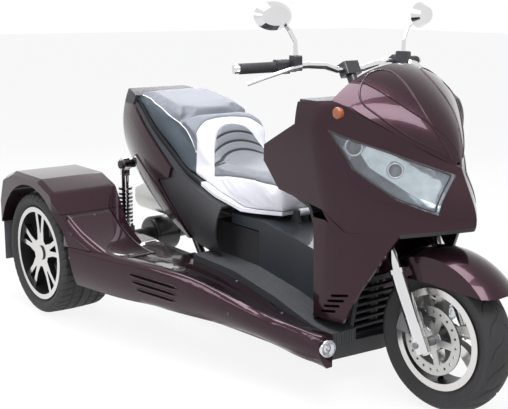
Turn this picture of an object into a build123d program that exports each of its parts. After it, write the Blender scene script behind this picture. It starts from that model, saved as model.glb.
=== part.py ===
"""A scooter-bodied motor trike: one steered front wheel, two driven rear wheels, a stepped two-up seat."""

import os
from math import cos, radians, sin

from build123d import *

# Driving dimensions, in millimetres. X is forward, Y is left, Z is up, and the floor is at Z 0.
# Right-hand pieces are drawn at negative Y and mirrored to the left.
FRONT_AXLE_X = 855
WHEELBASE = 1640
REAR_AXLE_X = FRONT_AXLE_X - WHEELBASE
RUNNING_GAP = 0.05  # radial play of a shaft that turns in a bore
SEAT_GAP = 0.3  # play between pieces that are clipped or pushed together
WALL = 7  # moulded body panels
LINER_WALL = 6  # black inner panels

# Front wheel: 120/70-12 tyre.
FRONT_TYRE_R = 236.5
FRONT_TYRE_HALF_W = 60
FRONT_SEAT_R = 150  # bead seat
FRONT_FLANGE_R = 163
FRONT_RIM_HALF_W = 46
FRONT_HUB_R = 34
FRONT_HUB_LEFT = 42
FRONT_HUB_RIGHT = 57  # the disc bolts to this end
FRONT_SPINDLE_R = 10
DISC_R = 110
DISC_THICK = 5

# Rear wheels: 235/30-14 tyres on eight-inch rims.
REAR_TYRE_R = 248.5
REAR_TYRE_HALF_W = 117.5
REAR_TRACK = 975
REAR_SEAT_R = 176
REAR_FLANGE_R = 190
REAR_RIM_HALF_W = 105
REAR_FACE_DEPTH = 14  # how far the spoke face sits inside the outer flange
REAR_STUB_R = 18
AXLE_TUBE_R = 32
AXLE_TUBE_HALF = 425

# Steering: rake from the vertical, and fork legs ahead of the steering axis.
RAKE = 28
FORK_OFFSET = 32
FORK_HALF = 112
STANCHION_R = 17
SLIDER_R = 24
SLIDER_TOP = 240  # along the steering axis, from the axle's level
CROWN_BASE = 452
CROWN_THICK = 27
HEAD_TUBE_R = 32
HEAD_TUBE_LENGTH = 160
STEM_R = 16.9
STEM_TOP = 905
BAR_R = 11

# Frame, engine and rear suspension.
RAIL_R = 16
RAIL_Y = 110
RAIL_Z = 190
RAIL_FRONT = FRONT_AXLE_X - FRONT_TYRE_R - 84.5  # clear of the front tyre and the grille
PIVOT_X, PIVOT_Z, PIVOT_R = -294, 250, 20
REAR_CROSS_Z, REAR_CROSS_R = 575, 18
SHOCK_Y = 176
BUCKET_REST_X, BUCKET_REST_Z = -480, 484  # top of the cross tube that carries the seat bucket

# Seat hinge pin, at the seat's front edge.
HINGE_X, HINGE_Z, HINGE_R = 184, 518, 6


def vector_sum(a, b, scale=1.0):
    """Point a moved along b."""
    return tuple(p + scale * q for p, q in zip(a, b))


def save(builder, name):
    """Labels a finished piece and writes it under its node's name."""
    builder.part.label = name
    export_step(builder.part, f"parts/{name}.step")


os.makedirs("parts", exist_ok=True)

# The steering frame: local z runs up the steering axis, local x points ahead of it.
rake = radians(RAKE)
steer_forward = (cos(rake), 0, sin(rake))
steer_up = (-sin(rake), 0, cos(rake))
front_axle = (FRONT_AXLE_X, 0, FRONT_TYRE_R)
steer_origin = vector_sum(front_axle, steer_forward, -FORK_OFFSET)
steer = Plane(origin=steer_origin, x_dir=steer_forward, z_dir=steer_up)
print("steering axis point", [round(v, 2) for v in steer_origin], "direction", [round(v, 5) for v in steer_up])


def axle_plane(x, y, z):
    """Half-section plane of a wheel: local x runs along the axle, local y is the radius."""
    return Plane(origin=(x, y, z), x_dir=(0, 1, 0), z_dir=(1, 0, 0))


def face_plane(x, y, z):
    """Side-view plane at a point: local x is X, local y is Z, and it faces right."""
    return Plane(origin=(x, y, z), x_dir=(1, 0, 0), z_dir=(0, -1, 0))


def side_prism(points, near, far):
    """A side-view outline carried across the body from Y -near to Y -far."""
    with BuildPart() as prism:
        with BuildSketch(Plane.XZ.offset(near)):
            with BuildLine():
                Polyline(*points, close=True)
            make_face()
        extrude(amount=far - near)
    return prism.part


# Front tyre: a rounded motorcycle crown over straight sidewalls.
front_spin = Axis(front_axle, (0, 1, 0))
with BuildPart() as front_tyre:
    with BuildSketch(axle_plane(*front_axle)):
        with BuildLine():
            bead = FRONT_SEAT_R + SEAT_GAP
            Polyline(
                (-FRONT_TYRE_HALF_W + 5, 196),
                (-FRONT_RIM_HALF_W + 6 + SEAT_GAP, FRONT_FLANGE_R + 6),
                (-FRONT_RIM_HALF_W + 6 + SEAT_GAP, bead),
                (FRONT_RIM_HALF_W - 6 - SEAT_GAP, bead),
                (FRONT_RIM_HALF_W - 6 - SEAT_GAP, FRONT_FLANGE_R + 6),
                (FRONT_TYRE_HALF_W - 5, 196),
            )
            ThreePointArc((FRONT_TYRE_HALF_W - 5, 196), (FRONT_TYRE_HALF_W, 206), (FRONT_TYRE_HALF_W - 5, 215))
            ThreePointArc((FRONT_TYRE_HALF_W - 5, 215), (0, FRONT_TYRE_R), (-FRONT_TYRE_HALF_W + 5, 215))
            ThreePointArc((-FRONT_TYRE_HALF_W + 5, 215), (-FRONT_TYRE_HALF_W, 206), (-FRONT_TYRE_HALF_W + 5, 196))
        make_face()
    revolve(axis=front_spin)

# Front rim: barrel with flanges, hub, and three split pairs of swept blades.
SPOKE_PAIR_STEP = 120
SPOKE_SPLIT = 44
FRONT_BLADE_HALF = 15
FRONT_BLADE_TIP = FRONT_SEAT_R - 6
with BuildSketch() as front_blade:
    with BuildLine():
        blade_root = Line((FRONT_HUB_R - 10, -13), (FRONT_HUB_R - 10, 13))
        ThreePointArc(blade_root @ 1, (88, 26), (FRONT_BLADE_TIP, 6))
        Line((FRONT_BLADE_TIP, 6), (FRONT_BLADE_TIP - 5, -38))
        ThreePointArc((FRONT_BLADE_TIP - 5, -38), (86, -10), blade_root @ 0)
    make_face()
with BuildPart() as front_rim:
    with BuildSketch(axle_plane(*front_axle)):
        with BuildLine():
            Polyline(
                (-FRONT_RIM_HALF_W, 141),
                (-FRONT_RIM_HALF_W, FRONT_FLANGE_R),
                (-FRONT_RIM_HALF_W + 6, FRONT_FLANGE_R),
                (-FRONT_RIM_HALF_W + 6, FRONT_SEAT_R),
                (FRONT_RIM_HALF_W - 6, FRONT_SEAT_R),
                (FRONT_RIM_HALF_W - 6, FRONT_FLANGE_R),
                (FRONT_RIM_HALF_W, FRONT_FLANGE_R),
                (FRONT_RIM_HALF_W, 141),
                close=True,
            )
        make_face()
    revolve(axis=front_spin)
    with BuildSketch(axle_plane(*front_axle)):
        with Locations(((FRONT_HUB_LEFT - FRONT_HUB_RIGHT) / 2, FRONT_HUB_R / 2)):
            Rectangle(FRONT_HUB_LEFT + FRONT_HUB_RIGHT, FRONT_HUB_R)
    revolve(axis=front_spin)
    with BuildSketch(face_plane(*front_axle)):
        for pair in range(3):
            for turn in (-SPOKE_SPLIT / 2, SPOKE_SPLIT / 2):
                add(front_blade.sketch, rotation=pair * SPOKE_PAIR_STEP + turn)
    extrude(amount=FRONT_BLADE_HALF, both=True)
    with BuildSketch(face_plane(FRONT_AXLE_X, FRONT_HUB_LEFT, FRONT_TYRE_R)):
        Circle(FRONT_SPINDLE_R + RUNNING_GAP)
    extrude(amount=FRONT_HUB_LEFT + FRONT_HUB_RIGHT, mode=Mode.SUBTRACT)

# Front brake disc: drilled ring on a five-armed carrier, bolted to the hub's right end.
with BuildPart() as front_brake_disc:
    with BuildSketch(face_plane(FRONT_AXLE_X, -FRONT_HUB_RIGHT, FRONT_TYRE_R)):
        Circle(DISC_R)
        Circle(78, mode=Mode.SUBTRACT)
        with PolarLocations(54, 5):
            Rectangle(56, 22)
        Circle(32)
        Circle(FRONT_SPINDLE_R + 6, mode=Mode.SUBTRACT)
        with PolarLocations(94, 20):
            Circle(4.5, mode=Mode.SUBTRACT)
    extrude(amount=DISC_THICK)

save(front_tyre, "front_tyre")
save(front_rim, "front_rim")
save(front_brake_disc, "front_brake_disc")

# Rear tyres: wide, low and nearly square in section.
rear_centre = (REAR_AXLE_X, -REAR_TRACK / 2, REAR_TYRE_R)
rear_spin = Axis(rear_centre, (0, 1, 0))
with BuildPart() as rear_tyre_right:
    with BuildSketch(axle_plane(*rear_centre)):
        with BuildLine():
            lip = REAR_RIM_HALF_W - 8 - SEAT_GAP
            wide = REAR_TYRE_HALF_W
            Polyline(
                (-wide + 7, 205),
                (-lip, REAR_FLANGE_R + 4),
                (-lip, REAR_SEAT_R + SEAT_GAP),
                (lip, REAR_SEAT_R + SEAT_GAP),
                (lip, REAR_FLANGE_R + 4),
                (wide - 7, 205),
            )
            ThreePointArc((wide - 7, 205), (wide, 217), (wide - 4, 232))
            ThreePointArc((wide - 4, 232), (wide - 9, 240), (wide - 22, 245.5))
            ThreePointArc((wide - 22, 245.5), (0, REAR_TYRE_R), (22 - wide, 245.5))
            ThreePointArc((22 - wide, 245.5), (9 - wide, 240), (4 - wide, 232))
            ThreePointArc((4 - wide, 232), (-wide, 217), (7 - wide, 205))
        make_face()
    revolve(axis=rear_spin)

# Rear rims: barrel, and a face of five split spokes close to the outer flange.
REAR_FACE_Y = rear_centre[1] - REAR_RIM_HALF_W + REAR_FACE_DEPTH
REAR_PAD_Y = REAR_FACE_Y + 42  # the rim's bolting face, where the hub flange meets it
REAR_SPOKES = 5
with BuildSketch() as rear_spoke:
    with BuildLine():
        Polyline((20, -26), (20, 26), (100, 26), (170, 42), (170, -42), (100, -26), close=True)
    make_face()
    with BuildLine():
        Polyline((84, -3), (84, 3), (160, 19), (160, -19), close=True)
    make_face(mode=Mode.SUBTRACT)
with BuildPart() as rear_rim_right:
    with BuildSketch(axle_plane(*rear_centre)):
        with BuildLine():
            Polyline(
                (-REAR_RIM_HALF_W, 170),
                (-REAR_RIM_HALF_W, REAR_FLANGE_R),
                (8 - REAR_RIM_HALF_W, REAR_FLANGE_R),
                (8 - REAR_RIM_HALF_W, REAR_SEAT_R),
                (REAR_RIM_HALF_W - 8, REAR_SEAT_R),
                (REAR_RIM_HALF_W - 8, REAR_FLANGE_R),
                (REAR_RIM_HALF_W, REAR_FLANGE_R),
                (REAR_RIM_HALF_W, 168),
                close=True,
            )
        make_face()
    revolve(axis=rear_spin)
    with BuildSketch(face_plane(REAR_AXLE_X, REAR_FACE_Y, REAR_TYRE_R)):
        for spoke in range(REAR_SPOKES):
            add(rear_spoke.sketch, rotation=90 + spoke * 360 / REAR_SPOKES)
        Circle(52)
    extrude(amount=-26)
    with BuildSketch(face_plane(REAR_AXLE_X, REAR_FACE_Y - 6, REAR_TYRE_R)):
        Circle(30)
    extrude(amount=-(REAR_PAD_Y - REAR_FACE_Y + 6))
    with BuildSketch(face_plane(REAR_AXLE_X, REAR_PAD_Y, REAR_TYRE_R)):
        Circle(58)
    extrude(amount=REAR_PAD_Y - REAR_FACE_Y)

# Rear hubs: flange on the rim's bolting face and a stub shaft that turns in the axle tube.
with BuildPart() as rear_hub_right:
    with BuildSketch(face_plane(REAR_AXLE_X, REAR_PAD_Y, REAR_TYRE_R)):
        Circle(62)
    extrude(amount=-12)
    with BuildSketch(face_plane(REAR_AXLE_X, REAR_PAD_Y + 12, REAR_TYRE_R)):
        Circle(105)
    extrude(amount=-6)
    with BuildSketch(face_plane(REAR_AXLE_X, REAR_PAD_Y + 18, REAR_TYRE_R)):
        Circle(30)
    extrude(amount=-(-AXLE_TUBE_HALF - REAR_PAD_Y - 18 - 5))
    with BuildSketch(face_plane(REAR_AXLE_X, REAR_PAD_Y + 18, REAR_TYRE_R)):
        Circle(REAR_STUB_R)
    extrude(amount=-(-AXLE_TUBE_HALF - REAR_PAD_Y - 18 + 110))

for name, right in (("rear_tyre", rear_tyre_right), ("rear_rim", rear_rim_right), ("rear_hub", rear_hub_right)):
    save(right, f"{name}_right")
    with BuildPart() as left:
        add(mirror(right.part, about=Plane.XZ))
    save(left, f"{name}_left")

# Rear axle: tube with a round final-drive case in the middle.
with BuildPart() as rear_axle:
    with BuildSketch(face_plane(REAR_AXLE_X, AXLE_TUBE_HALF, REAR_TYRE_R)):
        Circle(AXLE_TUBE_R)
    extrude(amount=2 * AXLE_TUBE_HALF)
    with BuildSketch(face_plane(REAR_AXLE_X, 62, REAR_TYRE_R)):
        Circle(78)
    extrude(amount=124)
    fillet(rear_axle.edges().filter_by(GeomType.CIRCLE).sort_by(SortBy.RADIUS)[-2:], 18)
    for side in (-1, 1):
        with BuildSketch(face_plane(REAR_AXLE_X, side * AXLE_TUBE_HALF, REAR_TYRE_R)):
            Circle(REAR_STUB_R + RUNNING_GAP)
        extrude(amount=side * 120, mode=Mode.SUBTRACT)
save(rear_axle, "rear_axle")

# Main frame: head tube, down tube, two rails that rise behind the engine, and cross tubes.
HEAD_BASE = CROWN_BASE + CROWN_THICK + SEAT_GAP
head_low = vector_sum(steer_origin, steer_up, HEAD_BASE + 0.6 * HEAD_TUBE_LENGTH)
with BuildPart() as main_frame:
    for side in (-1, 1):
        with BuildLine() as rail:
            FilletPolyline(
                (RAIL_FRONT, side * RAIL_Y, RAIL_Z),
                (-250, side * RAIL_Y, RAIL_Z),
                (-420, side * RAIL_Y, 420),
                (REAR_AXLE_X, side * RAIL_Y, REAR_CROSS_Z),
                radius=90,
            )
        with BuildSketch(Plane(origin=rail.line @ 0, z_dir=rail.line % 0)):
            Circle(RAIL_R)
        sweep(path=rail.line)
    for x, z, radius, half in (
        (RAIL_FRONT, RAIL_Z, RAIL_R, 132),
        (PIVOT_X, PIVOT_Z, PIVOT_R, 185),
        (BUCKET_REST_X, BUCKET_REST_Z - RAIL_R, RAIL_R, 180),
        (REAR_AXLE_X, REAR_CROSS_Z, REAR_CROSS_R, 200),
    ):
        with BuildSketch(face_plane(x, half, z)):
            Circle(radius)
        extrude(amount=2 * half)
    with BuildLine() as down:
        FilletPolyline((RAIL_FRONT, 0, RAIL_Z), (RAIL_FRONT, 0, 520), head_low, radius=60)
    with BuildSketch(Plane(origin=down.line @ 0, z_dir=down.line % 0)):
        Circle(19)
    sweep(path=down.line)
    with BuildSketch(steer.offset(HEAD_BASE)):
        Circle(HEAD_TUBE_R)
    extrude(amount=HEAD_TUBE_LENGTH)
    with BuildSketch(steer.offset(HEAD_BASE)):
        Circle(STEM_R + RUNNING_GAP + 0.05)
    extrude(amount=HEAD_TUBE_LENGTH, mode=Mode.SUBTRACT)
save(main_frame, "main_frame")

# Engine: one plain block that sits on the rails.
ENGINE_BACK, ENGINE_FRONT, ENGINE_TOP = -190, 90, 440
with BuildPart() as engine_block:
    with BuildSketch(Plane.XY.offset(RAIL_Z + RAIL_R)):
        with Locations(((ENGINE_BACK + ENGINE_FRONT) / 2, 0)):
            Rectangle(ENGINE_FRONT - ENGINE_BACK, 260)
    extrude(amount=ENGINE_TOP - RAIL_Z - RAIL_R)
save(engine_block, "engine_block")

# Swing arms: an eye on the frame's pivot tube, a box arm, and a clamp with a spring pad on the axle tube.
ARM_IN, ARM_OUT = 152, 198
SPRING_PAD_Z = REAR_TYRE_R + 60
with BuildPart() as swing_arms:
    with BuildSketch(face_plane(0, -ARM_IN, 0)):
        with Locations((PIVOT_X, PIVOT_Z)):
            Circle(PIVOT_R + 16)
        with Locations((REAR_AXLE_X, REAR_TYRE_R)):
            Circle(AXLE_TUBE_R + 16)
        with BuildLine():
            Polyline(
                (PIVOT_X, PIVOT_Z + 26),
                (PIVOT_X, PIVOT_Z - 26),
                (REAR_AXLE_X, REAR_TYRE_R - 32),
                (REAR_AXLE_X, REAR_TYRE_R + 32),
                close=True,
            )
        make_face()
        with Locations((REAR_AXLE_X, REAR_TYRE_R + 40)):
            Rectangle(64, 2 * (SPRING_PAD_Z - REAR_TYRE_R - 40))
        with Locations((PIVOT_X, PIVOT_Z)):
            Circle(PIVOT_R + SEAT_GAP, mode=Mode.SUBTRACT)
        with Locations((REAR_AXLE_X, REAR_TYRE_R)):
            Circle(AXLE_TUBE_R + SEAT_GAP, mode=Mode.SUBTRACT)
    extrude(amount=ARM_OUT - ARM_IN)
    mirror(about=Plane.XZ)
save(swing_arms, "swing_arms")

# Rear shocks: coil over damper between the spring pad and the frame's rear cross tube.
COIL_R, COIL_WIRE_R, COIL_TURNS, COIL_PITCH = 26, 5, 8, 17
with BuildPart() as rear_shocks:
    with BuildSketch(Plane.XY.offset(SPRING_PAD_Z)):
        with Locations((REAR_AXLE_X, -SHOCK_Y)):
            Circle(16)
    extrude(amount=REAR_CROSS_Z - SPRING_PAD_Z - REAR_CROSS_R - 2)
    for level in (SPRING_PAD_Z, SPRING_PAD_Z + 22 + COIL_TURNS * COIL_PITCH):
        with BuildSketch(Plane.XY.offset(level)):
            with Locations((REAR_AXLE_X, -SHOCK_Y)):
                Circle(COIL_R + COIL_WIRE_R)
        extrude(amount=10)
    for turn in range(COIL_TURNS):
        with BuildSketch(axle_plane(REAR_AXLE_X, -SHOCK_Y, SPRING_PAD_Z + 22 + turn * COIL_PITCH)):
            with Locations((COIL_R - 4, 0)):
                Rectangle(18, 2 * COIL_WIRE_R)
        revolve(axis=Axis((REAR_AXLE_X, -SHOCK_Y, 0), (0, 0, 1)))
    with BuildSketch(face_plane(REAR_AXLE_X, -SHOCK_Y + 14, REAR_CROSS_Z)):
        Circle(REAR_CROSS_R + 10)
        with Locations((0, -30)):
            Rectangle(32, 36)
        Circle(REAR_CROSS_R + SEAT_GAP, mode=Mode.SUBTRACT)
    extrude(amount=28)
    mirror(about=Plane.XZ)
save(rear_shocks, "rear_shocks")

# Silencer: a round can over the final drive, held by its pipe on the engine's back face.
with BuildPart() as muffler:
    with BuildSketch(Plane(origin=(ENGINE_BACK, 0, 400), x_dir=(0, 1, 0), z_dir=(-1, 0, 0))):
        Circle(19)
    extrude(amount=400)
    with BuildSketch(Plane(origin=(-560, 0, 400), x_dir=(0, 1, 0), z_dir=(-1, 0, 0))):
        Circle(56)
    extrude(amount=360)
    fillet(muffler.edges().filter_by(GeomType.CIRCLE).sort_by(SortBy.RADIUS)[-2:], 20)
    with BuildSketch(Plane(origin=(-915, 0, 412), x_dir=(0, 1, 0), z_dir=(-1, 0, 0))):
        Circle(22)
        Circle(18, mode=Mode.SUBTRACT)
    extrude(amount=45)
save(muffler, "muffler")

# Front body. Plan outlines of the nose, level by level: the sides run straight from the back to
# side_x, then an arc through (mid_x, mid_half) meets the centre line at nose_x.
NOSE_BACK = 230
NOSE_LEVELS = (
    # z, half, side_x, mid_x, mid_half, nose_x
    (545, 245, 560, 750, 170, 885),
    (615, 250, 560, 790, 158, 952),
    (700, 263, 558, 785, 155, 924),
    (778, 276, 555, 765, 150, 884),
    (880, 286, 550, 735, 178, 842),
    (985, 272, 545, 640, 250, 812),
)
SHIELD_LEVELS = (
    (225, 240, 520, 640, 214, 745),
    (640, 251, 562, 770, 166, 930),
)


def nose_hull(levels, inset):
    """The nose's outer form, drawn in by a wall thickness."""
    with BuildPart() as hull:
        for z, half, side_x, mid_x, mid_half, nose_x in levels:
            with BuildSketch(Plane.XY.offset(z)):
                with BuildLine():
                    right = -half + inset
                    Line((NOSE_BACK, -right), (NOSE_BACK, right))
                    Line((NOSE_BACK, right), (side_x, right))
                    ThreePointArc((side_x, right), (mid_x - 0.7 * inset, inset - mid_half), (nose_x - 1.3 * inset, 0))
                    ThreePointArc((nose_x - 1.3 * inset, 0), (mid_x - 0.7 * inset, mid_half - inset), (side_x, -right))
                    Line((side_x, -right), (NOSE_BACK, -right))
                make_face()
        loft()
    return hull.part


nose_outer = nose_hull(NOSE_LEVELS, 0)
nose_inner = nose_hull(NOSE_LEVELS, WALL)
shield_outer = nose_hull(SHIELD_LEVELS, 0)
shield_inner = nose_hull(SHIELD_LEVELS, WALL)

# Side-view lines of the front body, as (x, z): the crest under the screen, the knee-side back edge,
# and the seam between the nose and the lower shields.
CREST = ((880, 778), (800, 840), (720, 905), (655, 950), (600, 970))
BACK_EDGE = ((455, 955), (448, 885), (288, 800), (276, 745), (338, 655))
SEAM = ((545, 622), (632, 560), (785, 572))
LIP_UNDER = (948, 604)
FAR = 1200  # past the nose in every direction
ALL_WIDE = 420

nose_side = side_prism((*CREST, *BACK_EDGE, *SEAM, LIP_UNDER, (FAR, 640), (FAR, 778)), -ALL_WIDE, ALL_WIDE)
LAMP_OUTLINE = ((588, 880), (735, 826), (882, 757), (878, 640), (775, 682), (655, 762))
lamp_prism = side_prism(LAMP_OUTLINE, 20, ALL_WIDE)
lamp_prism_left = mirror(lamp_prism, about=Plane.XZ)
INDICATOR_X, INDICATOR_Z, INDICATOR_R, INDICATOR_SEAT = 622, 934, 19, 250

with BuildPart() as nose_fairing:
    add(nose_outer)
    add(nose_side, mode=Mode.INTERSECT)
    add(nose_inner, mode=Mode.SUBTRACT)
    add(lamp_prism, mode=Mode.SUBTRACT)
    add(lamp_prism_left, mode=Mode.SUBTRACT)
    for side in (-1, 1):
        with BuildSketch(face_plane(INDICATOR_X, side * INDICATOR_SEAT, INDICATOR_Z)):
            Circle(INDICATOR_R)
        extrude(amount=-side * 80, mode=Mode.SUBTRACT)
save(nose_fairing, "nose_fairing")

# Headlamp lenses: the nose's own skin inside the lamp outline, in clear moulding.
with BuildPart() as headlamp_lenses:
    add(nose_outer)
    add(nose_inner, mode=Mode.SUBTRACT)
    add(lamp_prism, mode=Mode.INTERSECT)
    mirror(about=Plane.XZ)
save(headlamp_lenses, "headlamp_lenses")

# Headlamp housings: the bowls behind the lenses, each with two round projectors.
LAMP_DEPTH = 46
with BuildPart() as headlamp_housings:
    add(nose_inner)
    add(nose_hull(NOSE_LEVELS, WALL + LAMP_DEPTH), mode=Mode.SUBTRACT)
    add(lamp_prism, mode=Mode.INTERSECT)
    mirror(about=Plane.XZ)
save(headlamp_housings, "headlamp_housings")

# Painted screen: a domed shell that stands on the nose's crest.
SCREEN_STATIONS = (
    # x, half width at the crest, top
    (600, 270, 1070),
    (690, 214, 1030),
    (770, 138, 965),
    (830, 72, 892),
    (872, 14, 800),
)


def crest_height(x):
    """Height of the crest line at a station."""
    for (x_front, z_front), (x_back, z_back) in zip(CREST, CREST[1:]):
        if x_back <= x <= x_front:
            return z_back + (x - x_back) * (z_front - z_back) / (x_front - x_back)
    return CREST[-1][1]


def screen_dome(inset):
    """The screen's domed form over the crest, drawn in by a wall thickness."""
    with BuildPart() as dome:
        for x, half, top in SCREEN_STATIONS:
            skirt = crest_height(x) - 30
            with BuildSketch(Plane(origin=(x, 0, 0), x_dir=(0, 1, 0), z_dir=(1, 0, 0))):
                with BuildLine():
                    reach = max(half - inset, 5)
                    Line((-reach, skirt), (reach, skirt))
                    Line((reach, skirt), (reach, skirt + 30))
                    ThreePointArc((reach, skirt + 30), (0, top - inset), (-reach, skirt + 30))
                    Line((-reach, skirt + 30), (-reach, skirt))
                make_face()
        loft()
    return dome.part


PROUD = 4  # how far the inner panel stands out of the screen
with BuildPart() as proud_area:
    with BuildSketch():
        with BuildLine():
            ThreePointArc((868, 0), (765, 96), (618, 178))
            ThreePointArc((618, 178), (606, 0), (618, -178))
            ThreePointArc((618, -178), (765, -96), (868, 0))
        make_face()
    extrude(amount=FAR)
with BuildPart() as proud_panel:
    add(screen_dome(-PROUD))
    add(screen_dome(WALL / 2), mode=Mode.SUBTRACT)
    add(proud_area.part, mode=Mode.INTERSECT)
crest_cut = side_prism((*CREST, (CREST[-1][0], FAR), (FAR, FAR), (FAR, CREST[0][1])), -ALL_WIDE, ALL_WIDE)
with BuildPart() as screen_panel:
    add(screen_dome(0))
    add(screen_dome(WALL), mode=Mode.SUBTRACT)
    add(proud_panel.part)
    add(crest_cut, mode=Mode.INTERSECT)
save(screen_panel, "screen_panel")

# Lower shields: the nose's sides below the seam, down to the footboards, with cooling slots.
SHIELD_LINE = ((545, 622), (632, 560), (785, 572), (672, 368), (625, 262), (500, 262), (628, 505))
SHIELD_SLOTS = 4
shield_prism = side_prism(SHIELD_LINE, 40, ALL_WIDE)
with BuildPart() as shield_panels:
    add(shield_outer)
    add(shield_inner, mode=Mode.SUBTRACT)
    add(shield_prism, mode=Mode.INTERSECT)
    with BuildSketch(Plane.XZ.offset(150)):
        for slot in range(SHIELD_SLOTS):
            with Locations((612 - 14 * slot, 352 - 20 * slot)):
                SlotOverall(62, 9, rotation=10)
    extrude(amount=200, mode=Mode.SUBTRACT)
    mirror(about=Plane.XZ)
save(shield_panels, "shield_panels")

# Chin: the black underside of the nose, ahead of the fork.
CHIN_LINE = ((785, 572), LIP_UNDER, (943, 592), (785, 560))
with BuildPart() as chin_panel:
    add(nose_outer)
    add(side_prism(CHIN_LINE, -ALL_WIDE, ALL_WIDE), mode=Mode.INTERSECT)
save(chin_panel, "chin_panel")

# Inner leg shield: the black wall that closes the front body behind, from the dash over the knee bulge
# down to the floor. The upper piece is open at the top for the console; the lower one has cheeks that
# lie against the shields.
LEG_WALL = 12
LEG_SPLIT_Z = 600
LEG_FOOT = (497, 245)
LEG_LINE = ((468, 950), (460, 892), (302, 798), (290, 745), (346, 662), (474, 614), (497, 560), LEG_FOOT)
CHEEK_LINE = ((500, 588), (552, 588), (640, 542), (646, 500), (528, 264), (500, 264))
CONSOLE_HALF, CONSOLE_LOW = 92, 850
with BuildPart() as leg_wall:
    with BuildSketch(Plane.XZ.offset(-ALL_WIDE)):
        with BuildLine():
            traced = Polyline(*LEG_LINE)
            offset(traced, LEG_WALL, side=Side.LEFT)
        make_face()
    extrude(amount=2 * ALL_WIDE)
with BuildPart() as inner_leg_shield:
    add(leg_wall.part)
    add(nose_inner, mode=Mode.INTERSECT)
    split(bisect_by=Plane.XY.offset(LEG_SPLIT_Z), keep=Keep.TOP)
    with BuildSketch(Plane(origin=(300, 0, 0), x_dir=(0, 1, 0), z_dir=(1, 0, 0))):
        with Locations((0, CONSOLE_LOW + 100)):
            Rectangle(2 * CONSOLE_HALF, 200)
    extrude(amount=300, mode=Mode.SUBTRACT)
save(inner_leg_shield, "inner_leg_shield")
with BuildPart() as lower_leg_shield:
    add(shield_inner)
    add(nose_hull(SHIELD_LEVELS, WALL + LINER_WALL), mode=Mode.SUBTRACT)
    add(side_prism(CHEEK_LINE, -ALL_WIDE, ALL_WIDE), mode=Mode.INTERSECT)
    add(leg_wall.part.intersect(shield_inner))
    split(bisect_by=Plane.XY.offset(LEG_SPLIT_Z), keep=Keep.BOTTOM)
save(lower_leg_shield, "lower_leg_shield")

# Dash: the black top cover between the leg shield and the screen, with a console round the stem.
DASH_Z, DASH_THICK, DASH_FRONT = 951, 12, 598
CONSOLE_BACK = 385
STEM_HOLE_R = 36
with BuildPart() as dash:
    with BuildSketch(Plane.XY.offset(DASH_Z)):
        with Locations(((DASH_FRONT + 456) / 2, 0)):
            Rectangle(DASH_FRONT - 456, 2 * ALL_WIDE)
    extrude(amount=DASH_THICK)
    add(nose_inner, mode=Mode.INTERSECT)
    with BuildSketch(Plane.XY.offset(CONSOLE_LOW)) as tongue:
        with BuildLine():
            console = CONSOLE_HALF - SEAT_GAP
            Line((500, -console), (440, -console))
            ThreePointArc((440, -console), (CONSOLE_BACK, 0), (440, console))
            Line((440, console), (500, console))
            Line((500, console), (500, -console))
        make_face()
    extrude(amount=DASH_Z + DASH_THICK - CONSOLE_LOW)
    with BuildSketch(Plane.XY.offset(CONSOLE_LOW)):
        add(tongue.sketch)
        offset(amount=-LINER_WALL)
    extrude(amount=DASH_Z - CONSOLE_LOW, mode=Mode.SUBTRACT)
    with BuildSketch(steer.offset(700)):
        Circle(STEM_HOLE_R)
    extrude(amount=250, mode=Mode.SUBTRACT)
save(dash, "dash")

# Instruments: a sloped pod on the dash, under the screen's back edge.
with BuildPart() as instruments:
    with BuildSketch(Plane.XZ.offset(-140)):
        with BuildLine():
            base = DASH_Z + DASH_THICK
            Polyline((520, base), (596, base), (596, base + 62), (575, base + 62), close=True)
        make_face()
    extrude(amount=280)
save(instruments, "instruments")

# Front indicators: round lamps let into the nose's sides, below the crest.
with BuildPart() as front_indicators:
    with BuildSketch(face_plane(INDICATOR_X, -INDICATOR_SEAT, INDICATOR_Z)):
        Circle(INDICATOR_R - SEAT_GAP)
    extrude(amount=24)
    fillet(front_indicators.faces().sort_by(Axis.Y)[0].edges(), 7)
    mirror(about=Plane.XZ)
save(front_indicators, "front_indicators")

# Radiator grille: a leaning frame of slats behind the front wheel.
BELLY_LOW, BELLY_TOP, BELLY_HALF = 116, RAIL_Z - RAIL_R, 248
GRILLE_X = FRONT_AXLE_X - FRONT_TYRE_R - 62.5
GRILLE_LOW, GRILLE_HALF, GRILLE_HEIGHT, GRILLE_SLATS = BELLY_TOP, 148, 222, 8
GRILLE_LEAN = 11.4
GRILLE_BORDER, GRILLE_DEPTH = 18, 14
lean = radians(GRILLE_LEAN)
grille_plane = Plane(origin=(GRILLE_X, 0, GRILLE_LOW), x_dir=(0, 1, 0), z_dir=(cos(lean), 0, -sin(lean)))
with BuildPart() as radiator_grille:
    with BuildSketch(grille_plane):
        with Locations((0, GRILLE_HEIGHT / 2)):
            Rectangle(2 * GRILLE_HALF, GRILLE_HEIGHT)
            Rectangle(2 * (GRILLE_HALF - GRILLE_BORDER), GRILLE_HEIGHT - 2 * GRILLE_BORDER, mode=Mode.SUBTRACT)
            with GridLocations(1, GRILLE_HEIGHT / GRILLE_SLATS, 1, GRILLE_SLATS):
                Rectangle(2 * (GRILLE_HALF - GRILLE_BORDER) + 10, 9)
    extrude(amount=GRILLE_DEPTH)
    split(bisect_by=Plane.XY.offset(GRILLE_LOW), keep=Keep.TOP)
save(radiator_grille, "radiator_grille")

# Belly pan: the tray under the floor, between the pontoons; the frame's rails pass above it.
BELLY_LINE = ((560, -BELLY_HALF), (586, 0), (560, BELLY_HALF), (-60, BELLY_HALF), (-60, -BELLY_HALF))
with BuildPart() as belly_pan:
    with BuildSketch(Plane.XY.offset(BELLY_LOW)):
        with BuildLine():
            Polyline(*BELLY_LINE, close=True)
        make_face()
    extrude(amount=BELLY_TOP - BELLY_LOW, taper=-12)
save(belly_pan, "belly_pan")

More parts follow.
